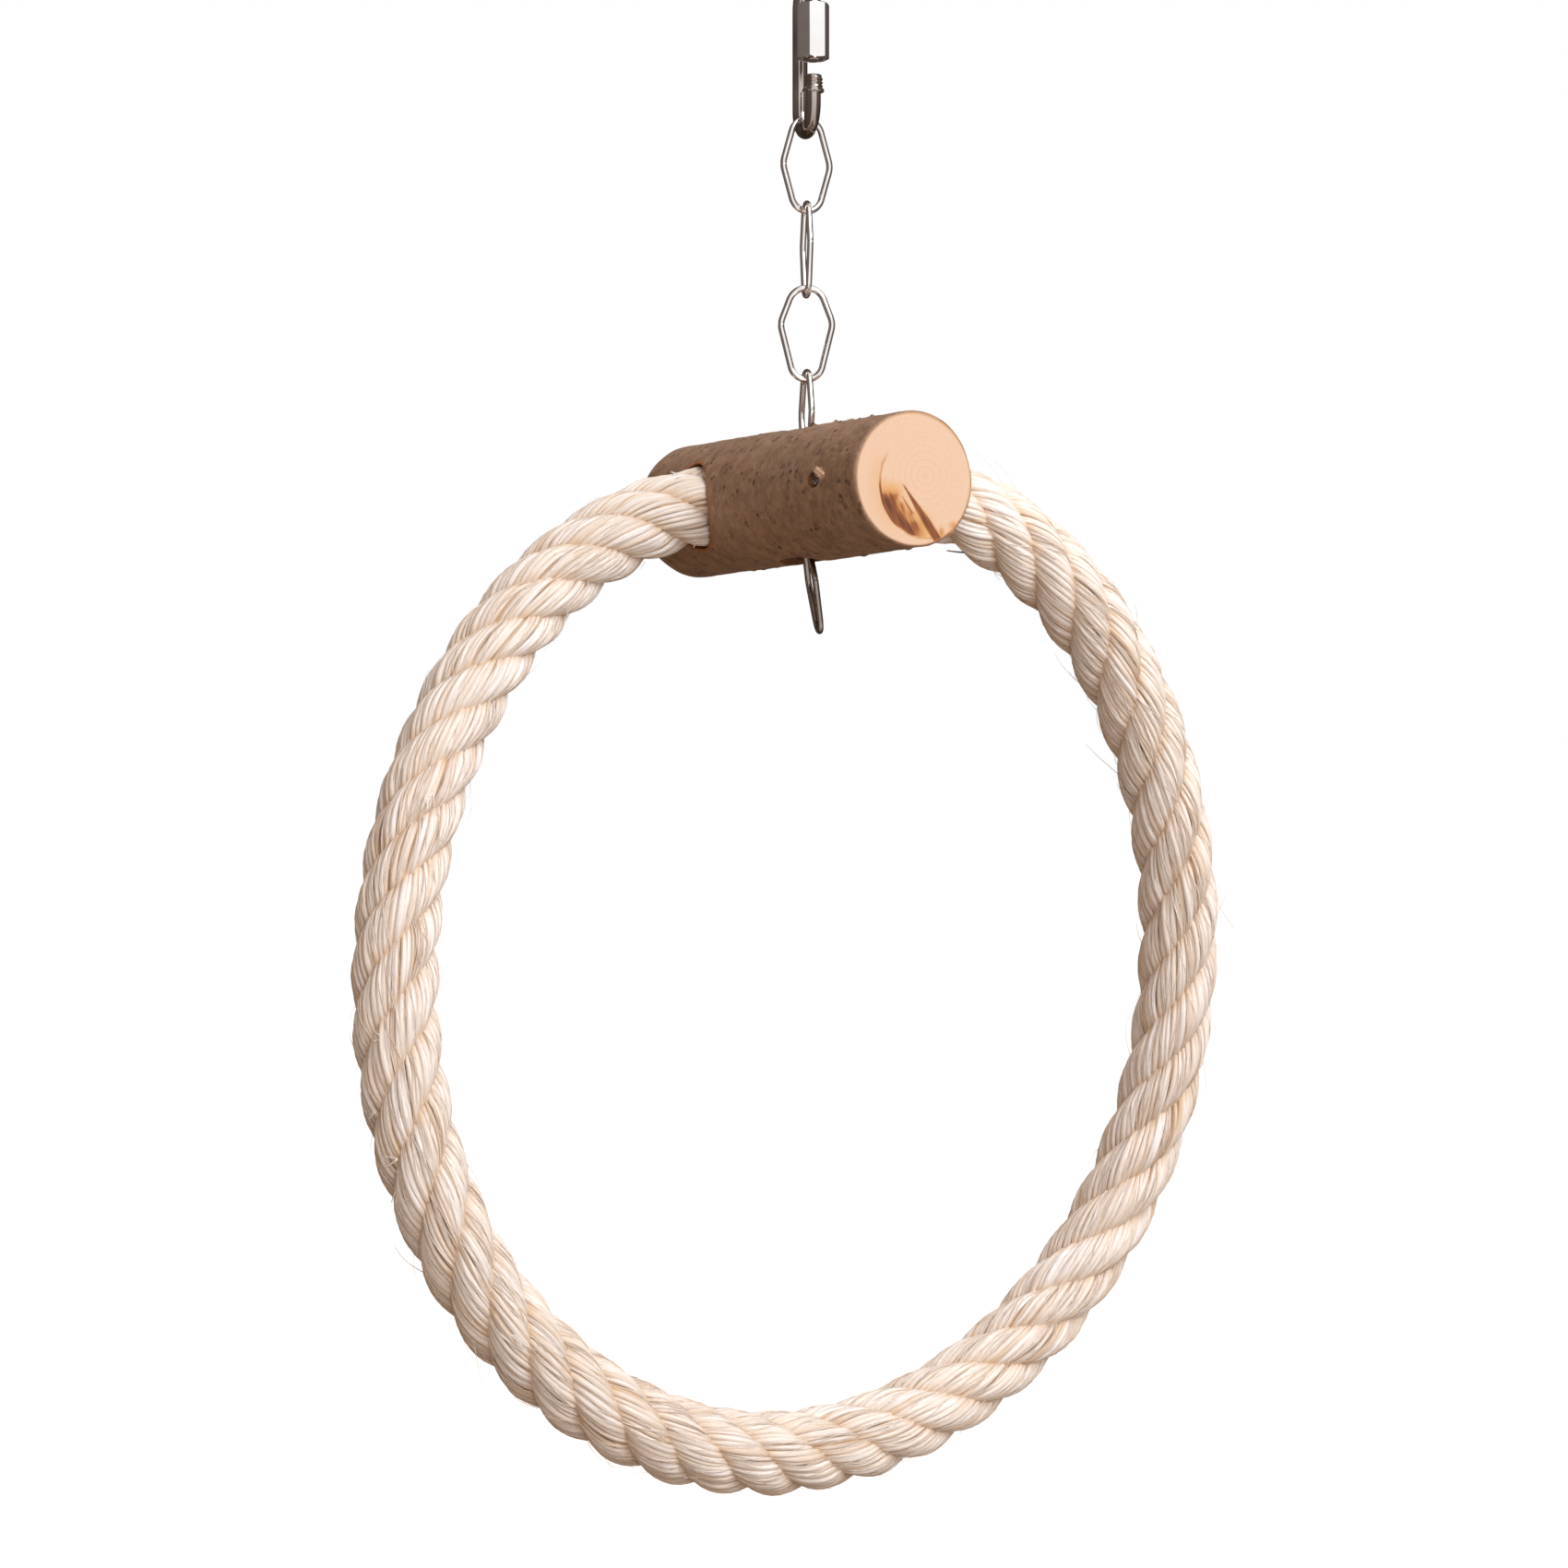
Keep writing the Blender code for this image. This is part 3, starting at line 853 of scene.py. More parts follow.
        # The cores show only between the yarns, and take the golden colour there as painted shade
        yarn_gold_and_shade = [np.full(stations, 0.8) for _ in lines]
        for yarn in range(self.yarns):
            shift = chance.uniform(-self.yarn_shift, self.yarn_shift)
            start = 2 * math.pi * (yarn + shift) / self.yarns
            lift = chance.gauss(0.0, self.yarn_lift)
            thick = chance.uniform(*self.yarn_thickness)
            base = chance.random()
            gold = chance.random() ** 3
            seed = Vector((37.1 * yarn, 11.3 * index, 0.0))
            drift = self.wander(seed, self.drift_run, stations)
            swell = self.wander(seed + Vector((5.0, 0.0, 0.0)), self.swell_run, stations)
            around = start + path.turning + 0.10 * drift
            middles = self.on_strand(path, around, lift + 0.25 * drift)
            lines.append(Line(middles, self.yarn_radius * thick * (1 + 0.10 * swell)))
            tones.append(np.clip(base * 0.75 + 0.35 * drift + 0.1, 0.0, 1.0))
            # Yarns on a strand's flanks, towards the grooves, take the golden colour as painted shade;
            # golden yarns add it as their own tone
            groove_shade = np.clip((0.80 - np.cos(around)) / 0.65, 0.0, 1.0)
            yarn_gold_and_shade.append(np.clip(0.55 * groove_shade**2 + gold * (0.25 + 0.6 * drift), 0.0, 0.8))
        name = f"sisal_strand_{index + 1}"
        piece = new_piece(name, sweep(name, lines, resolution=1), [material], sharp=180.0)
        # Each line reads a stretch of its own in the fibre pattern
        line_apart, strand_apart, sides = 73.0, 9000.0, 6
        turn = np.tile(np.arange(sides) / sides * 2 * math.pi, len(lines) * stations)
        along = np.repeat(np.tile(np.arange(stations) * self.station, len(lines)), sides)
        apart = np.repeat(np.arange(len(lines)) * line_apart + index * strand_apart, stations * sides)
        tone = np.repeat(np.array(tones).ravel(), sides)
        # Per vertex: the golden colour with its painted shade in the grooves
        depth = np.repeat(np.array(yarn_gold_and_shade).ravel(), sides)
        across = self.yarn_radius * np.column_stack([np.cos(turn), np.sin(turn)])
        fibre = np.column_stack([across[:, 0] + apart, across[:, 1], along])
        self.paint(piece, fibre, np.column_stack([tone, depth, np.zeros_like(tone)]))
        return piece

    def fibre_piece(
        self, name: str, lines: list[Line], tones: Sequence[Sequence[float]], material: bpy.types.Material
    ) -> bpy.types.Object:
        """Make loose fibres as one piece.

        Args:
            name: The piece's name.
            lines: The fibres.
            tones: The straw share, the share of golden colour and the dark share of each fibre.
            material: The sisal.

        Returns:
            The fibres.
        """
        piece = new_piece(name, sweep(name, lines, resolution=0), [material], sharp=180.0)
        sides = 4
        counts = [len(line.points) * sides for line in lines]
        places = np.array([vertex.co for vertex in piece.data.vertices]) / MM
        self.paint(piece, places, np.repeat(np.array(tones), counts, axis=0))
        return piece

    def surface_lines(self, path: StrandPath, chance: random.Random) -> list[Line]:
        """Return fibres that lie on a strand a little off the way of its yarns.

        Args:
            path: The strand's path.
            chance: The source of random numbers.

        Returns:
            The fibres.
        """
        lines = []
        for _ in range(self.surface_fibres):
            count = chance.randrange(*self.surface_stations)
            last = len(path.turning) - count - self.hidden_stations
            part = path.stretch(chance.randrange(self.hidden_stations, last), count)
            slip = chance.gauss(0.0, 0.016) * self.station * np.arange(count)
            around = chance.uniform(-1.4, 1.4) + part.turning - part.turning[count // 2] + slip
            swell = np.sqrt(np.clip(np.sin(np.linspace(0.0, math.pi, count)), 0.0, 1.0))
            lift = self.yarn_radius + chance.uniform(-0.15, 0.1) + 0.35 * (swell - 1)
            thick = chance.uniform(*self.surface_radius) * (0.4 + 0.6 * swell)
            lines.append(Line(self.on_strand(part, around, lift), thick))
        return lines

    def surface_piece(
        self, index: int, path: StrandPath, material: bpy.types.Material, chance: random.Random
    ) -> bpy.types.Object:
        """Make the fibres that lie on one strand.

        Args:
            index: The strand's number.
            path: The strand's path.
            material: The sisal.
            chance: The source of random numbers.

        Returns:
            The fibres.
        """
        lines = self.surface_lines(path, chance)
        tones = [(chance.random(), 0.6 * chance.random() ** 2, 0.05 * chance.random() ** 4) for _ in lines]
        return self.fibre_piece(f"sisal_surface_fibres_{index + 1}", lines, tones, material)

    def ways(
        self, line: list[Vector], frames: Sequence[np.ndarray], i: int, angle: float
    ) -> tuple[np.ndarray, np.ndarray, np.ndarray]:
        """Return the outward, the sideways and the forward direction at an angle about a station.

        Args:
            line: The rope's centre line.
            frames: The line's cross directions.
            i: The station's number.
            angle: The angle about the rope.

        Returns:
            The three unit directions.
        """
        first, second = frames[0][i], frames[1][i]
        out = first * math.cos(angle) + second * math.sin(angle)
        aside = second * math.cos(angle) - first * math.sin(angle)
        return out, aside, np.array((line[i + 1] - line[i - 1]).normalized())

    def stray_lines(self, line: list[Vector], chance: random.Random) -> list[Line]:
        """Return fibres that stand off the rope.

        Args:
            line: The rope's centre line.
            chance: The source of random numbers.

        Returns:
            The fibres.
        """
        shortest, mean, longest = self.stray_length
        frames = self.frames(line)
        share = np.linspace(0.0, 1.0, self.fibre_points)[:, None]
        lines = []
        for _ in range(self.stray_fibres):
            i = chance.randrange(self.hidden_stations, len(line) - self.hidden_stations)
            out, aside, ahead = self.ways(line, frames, i, chance.uniform(0.0, 2 * math.pi))
            ahead = ahead * chance.choice((-1.0, 1.0))
            root = np.array(line[i]) + out * (self.diameter / 2 - chance.uniform(1.2, 3.2))
            length = min(chance.expovariate(1 / mean) + shortest, longest)
            rise = chance.uniform(0.05, 0.38) * share + 0.10 * np.sin(3 * share)
            way = ahead * share + out * rise + aside * chance.uniform(-0.5, 0.5) * share**2
            thick = chance.uniform(*self.stray_radius) * (1 - 0.6 * share[:, 0])
            lines.append(Line(root + way * length, thick))
        return lines

    def tuft_lines(self, line: list[Vector], tuft: Tuft, chance: random.Random) -> list[Line]:
        """Return the fibres of a tuft.

        Args:
            line: The rope's centre line.
            tuft: The tuft.
            chance: The source of random numbers.

        Returns:
            The fibres.
        """
        i = round(tuft.distance / self.station)
        out, aside, ahead = self.ways(line, self.frames(line), i, math.radians(tuft.angle))
        share = np.linspace(0.0, 1.0, self.fibre_points)[:, None]
        lines = []
        for k in range(tuft.count):
            lean = math.radians(tuft.lean + tuft.fan * (2 * k + 1 - tuft.count) / tuft.count)
            run = ahead * math.cos(lean) + aside * math.sin(lean)
            across = aside * math.cos(lean) - ahead * math.sin(lean)
            beside = self.tuft_spacing * (k - tuft.count / 2) + chance.gauss(0.0, 0.1)
            root = np.array(line[i]) + out * (self.diameter / 2 - 1.0) + across * beside
            bend = chance.uniform(-0.35, 0.25)
            way = run * share + out * (0.45 * share - 0.1 * share**2) + across * bend * share**2
            length = tuft.length * chance.uniform(0.84, 1.16)
            thick = chance.uniform(*self.tuft_radius) * (1 - 0.5 * share[:, 0])
            lines.append(Line(root + way * length, thick))
        return lines

    def build(self) -> None:
        chance = random.Random(self.fibre_seed)
        material = LaidSisal().make()
        line = self.centre_line()
        paths = [self.strand_path(i, line) for i in range(self.strands)]
        strands = [self.strand_piece(i, path, material) for i, path in enumerate(paths)]
        lying = [self.surface_piece(i, path, material, chance) for i, path in enumerate(paths)]
        standing = self.stray_lines(line, chance)
        standing += [fibre for tuft in self.tufts for fibre in self.tuft_lines(line, tuft, chance)]
        tones = [(0.4, 0.0, 0.0)] * len(standing)
        bristles = self.tuft_lines(line, self.bristle, chance)
        tones += [(1.0, 0.0, 0.9)] * len(bristles)
        stray = self.fibre_piece("sisal_stray_fibres", standing + bristles, tones, material)
        for piece in (*strands, *lying, stray):
            attach(piece, Body.PERCH.value, Slot.ROPE, "sisal_rope")


@dataclass
class HeartStain:
    """The brown stain on the front sawn face, in millimetres across and up from the face's middle.

    A bruise has its place, its reach across and up, and its strength. A sector has the angles in degrees
    about the heart at which it begins, is full, starts to fade and ends.
    """

    heart: tuple[float, float] = (4.6, -1.6)
    heart_radius: float = 17.5
    streak_start: tuple[float, float] = (-5.0, -0.9)
    streak_end: tuple[float, float] = (9.4, -20.0)
    streak_half: float = 1.55
    split_start: tuple[float, float] = (-5.1, -5.0)
    split_end: tuple[float, float] = (-0.6, -11.4)
    split_half: float = 0.4
    edge_half: float = 0.4
    patch_sector: tuple[float, float, float, float] = (184.0, 201.0, 246.0, 276.0)
    glow_sector: tuple[float, float, float, float] = (170.0, 190.0, 262.0, 292.0)
    crescent_sector: tuple[float, float, float, float] = (140.0, 165.0, 205.0, 250.0)
    bruises: tuple[tuple[float, float, float, float, float], ...] = (
        (10.3, -16.9, 1.0, 1.6, 1.0),
        (15.0, -14.6, 1.7, 1.2, 0.8),
    )

    def streak(self, point: Vector, start: Sequence[float], end: Sequence[float], half: float) -> float:
        """Return how dark a wedge-shaped streak is at a point.

        Args:
            point: The point on the face.
            start: The streak's sharp end.
            end: Its wide end.
            half: Half its greatest width.

        Returns:
            A share from 0 to 1.
        """
        way = Vector(end) - Vector(start)
        off = point - Vector(start)
        along = off.dot(way) / way.length_squared
        across = abs(off.x * way.y - off.y * way.x) / way.length
        width = half * smooth_step(-0.05, 0.75, along) + 0.12
        inside = smooth_step(1.15 * width, 0.55 * width, across)
        return inside * smooth_step(-0.03, 0.12, along) * smooth_step(1.03, 0.97, along)

    def sector(self, angle: float, bounds: tuple[float, float, float, float]) -> float:
        """Return how far an angle lies in a sector, from 0 to 1."""
        start, full, fading, end = bounds
        return smooth_step(start, full, angle) * smooth_step(end, fading, angle)

    def marks(self, x: float, z: float) -> tuple[float, float]:
        """Return the stain at a point of the face.

        Args:
            x: The point's place across the face.
            z: Its place up the face.

        Returns:
            The brown and the honey-coloured share.
        """
        point = Vector((x, z))
        waver = noise.noise(Vector((x / 3.0, z / 3.0, 4.0)))
        grain = noise.noise(Vector(((x * 0.87 + z * 0.5) / 0.9, (z * 0.87 - x * 0.5) / 6.0, 9.0)))
        off = point - Vector(self.heart)
        inside = self.heart_radius - off.length + 0.35 * waver
        angle = math.degrees(math.atan2(off.y, off.x)) % 360
        # The heart's dark edge
        edge = math.exp(-((inside / self.edge_half) ** 2))
        edge_dark = edge * (0.4 * smooth_step(138, 160, angle) + 0.6 * smooth_step(172, 190, angle))
        edge_dark *= 1 - 0.7 * smooth_step(205, 260, angle)
        edge_dark *= smooth_step(330, 280, angle)
        # The brown patch inside it
        patch = self.sector(angle, self.patch_sector) * smooth_step(-0.2, 0.5, inside)
        patch *= smooth_step(8.6, 3.6, inside + 1.8 * waver)
        patch *= min(max(0.82 + 0.6 * grain, 0.0), 1.0) * (0.55 + 0.45 * smooth_step(6.0, 1.5, inside))
        brown = max(edge_dark, patch * 0.95)
        # The streak across the heart and the short split
        wedge = self.streak(point, self.streak_start, self.streak_end, self.streak_half)
        brown = max(brown, wedge * (0.75 + 0.35 * grain))
        brown = max(brown, self.streak(point, self.split_start, self.split_end, self.split_half) * 0.5)
        # The honey-coloured glow, the bruises and the crescent outside the heart
        glow = self.sector(angle, self.glow_sector)
        glow *= smooth_step(-0.3, 0.4, inside) * smooth_step(11.0, 4.0, inside)
        bruise = max(
            strength * math.exp(-(((x - across) / wide) ** 2 + ((z - up) / high) ** 2))
            for across, up, wide, high, strength in self.bruises
        )
        crescent = smooth_step(0.3, -0.6, inside) * smooth_step(-6.0, -0.5, inside)
        crescent *= self.sector(angle, self.crescent_sector)
        brown = max(brown, 0.35 * bruise)
        honey = max(glow * 0.8, bruise, crescent * 0.32)
        return min(max(brown, 0.0), 1.0), min(max(honey, 0.0), 1.0)


@dataclass
class HazelLog:
    """The log that takes both rope ends and hangs on the chain's hidden pin."""

    front_diameter: float = 44.6
    rear_diameter: float = 47.8
    front_length: float = 71.0
    rear_length: float = 80.0
    edge: float = 0.6
    axis_height: float = -172.5
    slot_length: float = 24.2
    slot_width: float = 13.6
    slot_sides: int = 50
    bore_sides: int = 72
    hole_sides: int = 24
    bore_gap: float = 0.3
    bore_cover: float = 0.3
    bore_flare: float = 1.8
    torn_width: float = 2.2
    nail_rise: float = 1.0
    nail_sink: float = 0.6
    nail_head: float = 3.6
    nail_hole_gap: float = 0.4
    nail_hole_depth: float = 1.7
    tear: float = 1.25
    pin_rise: float = 13.7
    pin_bore: float = 3.6
    steps_round: int = 240
    face_cuts: tuple[int, int] = (63, 40)
    bark_cuts: int = 130
    rim: float = 0.9

    def radius(self, y: float) -> float:
        """Return the log's plain radius at a distance along it."""
        share = (y + self.front_length) / (self.front_length + self.rear_length)
        return (self.front_diameter + (self.rear_diameter - self.front_diameter) * share) / 2

    def relief(self, point: Vector) -> float:
        """Return how far the bark stands out.

        Args:
            point: A point of the bark, in millimetres.

        Returns:
            The height in millimetres, which is negative in a hollow.
        """
        swell = 0.30 * noise.noise(point / 21.0) + 0.16 * noise.noise(point / 6.0)
        gap = noise.voronoi(point / 4.2)[0][0]
        grouped = smooth_step(0.0, 0.3, noise.noise(point / 13.0 + Vector((3.0, 8.0, 1.0))))
        return swell + 0.8 * smooth_step(0.30, 0.05, gap) * grouped - 0.1

    def blank(self) -> bmesh.types.BMesh:
        """Spin the log's outline and raise its bark.

        Returns:
            The uncut log, whose sawn faces have the second finish.
        """
        front = -self.front_length * MM
        rear = self.rear_length * MM
        edge = self.edge * MM
        front_radius = self.front_diameter / 2 * MM
        rear_radius = self.rear_diameter / 2 * MM
        height = self.axis_height * MM
        outline = [
            (0.0, front),
            (front_radius - edge, front),
            (front_radius, front + edge),
            (rear_radius, rear - edge),
            (rear_radius - edge, rear),
            (0.0, rear),
        ]
        shape = bmesh.new()
        corners = [shape.verts.new((radius, y, height)) for radius, y in outline]
        edges = [shape.edges.new(pair) for pair in zip(corners, corners[1:])]
        front_cuts, rear_cuts = self.face_cuts
        for run, cuts in ((edges[0], front_cuts), (edges[2], self.bark_cuts), (edges[4], rear_cuts)):
            bmesh.ops.subdivide_edges(shape, edges=[run], cuts=cuts)
        bmesh.ops.spin(
            shape,
            geom=shape.verts[:] + shape.edges[:],
            cent=(0.0, 0.0, height),
            axis=(0.0, 1.0, 0.0),
            angle=2 * math.pi,
            steps=self.steps_round,
            use_merge=True,
        )
        bmesh.ops.remove_doubles(shape, verts=shape.verts, dist=1e-6)
        # The bark is raised, and the sawn faces stay flat
        middle = Vector((0.0, 0.0, height))
        for vertex in shape.verts:
            out = vertex.co - middle
            y = out.y
            out.y = 0.0
            near_bark = smooth_step(0.93, 0.985, out.length / MM / self.radius(y / MM))
            if near_bark > 0:
                vertex.co += out.normalized() * self.relief(vertex.co / MM) * near_bark * MM
        for face in shape.faces:
            sawn = abs(face.calc_center_median().y - (rear + front) / 2) > (rear - front) / 2 - 0.2 * edge
            face.material_index = 1 if sawn else 0
        return shape

    def cutters(self, rope: SisalRope) -> bmesh.types.BMesh:
        """Make the chain slot, the rope bores and the nail and pin holes.

        Args:
            rope: The rope, whose ends the bores follow.

        Returns:
            The cutting shape.
        """
        shape = bmesh.new()
        # The chain slot
        past = Vector((0.0, 0.0, self.rear_diameter))
        middle = Vector((0.0, 0.0, self.axis_height))
        spread = (self.slot_length - self.slot_width) / 2 * MM
        half = self.slot_width / 2
        for vertex in add_cone(shape, middle - past, middle + past, half, half, self.slot_sides):
            vertex.co.y += math.copysign(spread, vertex.co.y)
        # The rope bores
        bore = rope.diameter / 2 + self.bore_gap
        for inner, way in self.bores(rope):
            start = inner - way * self.bore_cover
            end = start + way * 2 * self.rear_diameter
            add_cone(shape, start, end, bore, bore + self.bore_flare, self.bore_sides)
        # The nail holes, torn wider along the log
        for side in Side:
            y = side.value * rope.bore_offset
            surface = math.sqrt(self.radius(y) ** 2 - self.nail_rise**2)
            height = self.axis_height + self.nail_rise
            outer = Vector((side.value * (surface + 2.0), y, height))
            inner = Vector((side.value * (surface - self.nail_sink - self.nail_hole_depth), y, height))
            hole = self.nail_head / 2 + self.nail_hole_gap
            mouth = self.nail_head / 2 + self.nail_hole_depth
            for vertex in add_cone(shape, inner, outer, hole, mouth, self.hole_sides):
                vertex.co.y += (vertex.co.y - y * MM) * (self.tear - 1)
        # The pin's hole
        height = self.axis_height + self.pin_rise
        surface = math.sqrt(self.radius(0.0) ** 2 - self.pin_rise**2)
        start = Vector((half + 1.5, 0.0, height))
        end = Vector((surface + 3.0, 0.0, height))
        add_cone(shape, start, end, self.pin_bore / 2, self.pin_bore / 2, self.hole_sides)
        return shape

    def bores(self, rope: SisalRope) -> list[tuple[Vector, Vector]]:
        """Return the left and the right bore.

        Args:
            rope: The rope, whose ends the bores follow.

        Returns:
            Each bore's inner end and its outward way.
        """
        line = rope.centre_line()
        ends = ((line[0], line[4]), (line[-1], line[-5]))
        return [(inner, (outer - inner).normalized()) for inner, outer in ends]

    def torn(self, place: Vector, bore: tuple[Vector, Vector], radius: float) -> float:
        """Return how far the bark is torn to its orange inner layer at a point near a bore.

        Args:
            place: The point, in millimetres.
            bore: The bore's inner end and its way.
            radius: The bore's radius.

        Returns:
            A share from 0 to 1.
        """
        off = (place - bore[0]).cross(bore[1]).length - radius + 0.6 * noise.noise(place / 2.5)
        ragged = 0.5 + 0.5 * smooth_step(-0.6, 0.1, noise.noise(place / 8.0))
        return 0.9 * ragged * smooth_step(self.torn_width, 0.5, off)

    def stain(self, piece: bpy.types.Object, rope: SisalRope) -> None:
        """Store the stain and the bark's rim on the sawn faces, and the torn bark round the bores.

        Args:
            piece: The log.
            rope: The rope, whose ends the bores follow.
        """
        marks = HeartStain()
        store = piece.data.attributes.new("marks", "FLOAT_COLOR", "POINT")
        middle = (self.rear_length - self.front_length) / 2
        half = (self.rear_length + self.front_length) / 2 - self.edge
        left, right = self.bores(rope)
        radius = rope.diameter / 2 + self.bore_gap
        for vertex, value in zip(piece.data.vertices, store.data):
            place = vertex.co / MM
            x, y, z = place.x, place.y, place.z - self.axis_height
            if abs(y - middle) < half:
                torn = self.torn(place, left if y > 0 else right, radius) if x * y < 0 else 0.0
                value.color = (torn, 0.0, 0.0, 1.0)
                continue
            brown, honey = marks.marks(x, z) if y < middle else (0.0, 0.0)
            bark = self.radius(y) - self.edge
            rim = smooth_step(bark - self.rim, bark, math.hypot(x, z))
            value.color = (brown, honey, rim, 1.0)

    def build(self, rope: SisalRope, sawn: bpy.types.Material) -> None:
        """Make the log and let it ride on the perch.

        Args:
            rope: The rope, whose ends the bores follow.
            sawn: The finish of its sawn faces.
        """
        finishes = [HazelBark().make(), sawn, BoredHazel().make()]
        piece = new_piece("hazel_log_dressed", self.blank(), finishes, sharp=50.0)
        cutter = new_piece("log_cutters", self.cutters(rope), finishes[2:])
        apply_boolean(piece, cutter, "DIFFERENCE")
        self.stain(piece, rope)
        attach(piece, Body.PERCH.value, Slot.LOG, "hazel_log")


@dataclass
class Fixings:
    """The nails that hold the rope ends, the splinter by the front one and the pin that carries the log.

    The splinter's place is measured from the front nail's head.
    """

    log: HazelLog
    rope: SisalRope
    nail_shank: float = 2.4
    nail_head_height: float = 1.4
    nail_length: float = 29.0
    pin_diameter: float = 3.0
    pin_cover: float = 2.0
    chamfer: float = 0.3
    chip_size: tuple[float, float, float] = (1.1, 3.4, 1.6)
    chip_place: tuple[float, float, float] = (-0.1, -4.0, 2.0)
    chip_turn: float = 25.0
    steps_round: int = 32

    def nail_profile(self) -> list[tuple[float, float]]:
        """Return a nail's outline.

        Returns:
            Radius and height from the middle of its head to its tip.
        """
        head = self.log.nail_head / 2
        shank = self.nail_shank / 2
        neck = -self.nail_head_height
        tip = -self.nail_length
        dome = [(head * math.sin(a), 0.35 * math.cos(a) - 0.35) for a in (0.0, 0.5, 0.9, 1.2)]
        shaft = [(shank, neck), (shank, tip + self.nail_shank), (0.0, tip)]
        return [*dome, (head, -0.45), (head, neck + 0.2), *shaft]

    def pin_profile(self, half: float) -> list[tuple[float, float]]:
        """Return the outline of the pin with its chamfered ends.

        Args:
            half: Half the pin's length.

        Returns:
            Radius and height from one end to the other.
        """
        radius = self.pin_diameter / 2
        end = [(0.0, half), (radius - self.chamfer, half), (radius, half - self.chamfer)]
        return end + [(r, -height) for r, height in reversed(end)]

    def chip_shape(self, head: float) -> bmesh.types.BMesh:
        """Make the splinter of pale wood that the front nail has pushed up.

        Args:
            head: The distance of the nail's head from the middle of the log.

        Returns:
            The splinter, in its place.
        """
        shape = bmesh.new()
        bmesh.ops.create_icosphere(shape, subdivisions=3, radius=MM)
        for vertex in shape.verts:
            vertex.co *= 1 + 0.6 * noise.noise(vertex.co / MM * 2.1)
        bmesh.ops.scale(shape, vec=self.chip_size, verts=shape.verts)
        turn = Matrix.Rotation(math.radians(self.chip_turn), 4, "X")
        nail = Vector((-head, -self.rope.bore_offset, self.log.axis_height + self.log.nail_rise))
        place = Matrix.Translation((nail + Vector(self.chip_place)) * MM)
        bmesh.ops.transform(shape, matrix=place @ turn, verts=shape.verts)
        return shape

    def build(self, sawn: bpy.types.Material) -> None:
        """Make the nails, the splinter and the pin and let them ride on the perch.

        Args:
            sawn: The splinter's finish.
        """
        steel = PolishedSteel("plain_nail_steel", "#ABA7AB", "#4A4446", (0.22, 0.42), 1.2).make()
        for side in Side:
            y = side.value * self.rope.bore_offset
            head = math.sqrt(self.log.radius(y) ** 2 - self.log.nail_rise**2) - self.log.nail_sink
            place = Vector((side.value * head, y, self.log.axis_height + self.log.nail_rise)) * MM
            turn = Matrix.Rotation(math.radians(90.0 * side.value), 4, "Y")
            name = "rope_nail_rear" if side is Side.RIGHT else "rope_nail_front"
            shape = turned_shape(self.nail_profile(), Matrix.Translation(place) @ turn, self.steps_round)
            attach(new_piece(f"{name}_dressed", shape, [steel]), Body.PERCH.value, Slot.NAIL, name)
            if side is Side.LEFT:
                chip = new_piece("nail_splinter", self.chip_shape(head), [sawn])
                attach(chip, Body.PERCH.value, Slot.LOG)
        surface = math.sqrt(self.log.radius(0.0) ** 2 - self.log.pin_rise**2)
        start = -surface + self.pin_cover
        end = surface - self.chamfer
        place = Vector(((start + end) / 2, 0.0, self.log.axis_height + self.log.pin_rise)) * MM
        turn = Matrix.Rotation(math.radians(90.0), 4, "Y")
        profile = self.pin_profile((end - start) / 2)
        shape = turned_shape(profile, Matrix.Translation(place) @ turn, self.steps_round)
        attach(new_piece("chain_pin_dressed", shape, [steel]), Body.PERCH.value, Slot.NAIL, "chain_pin")


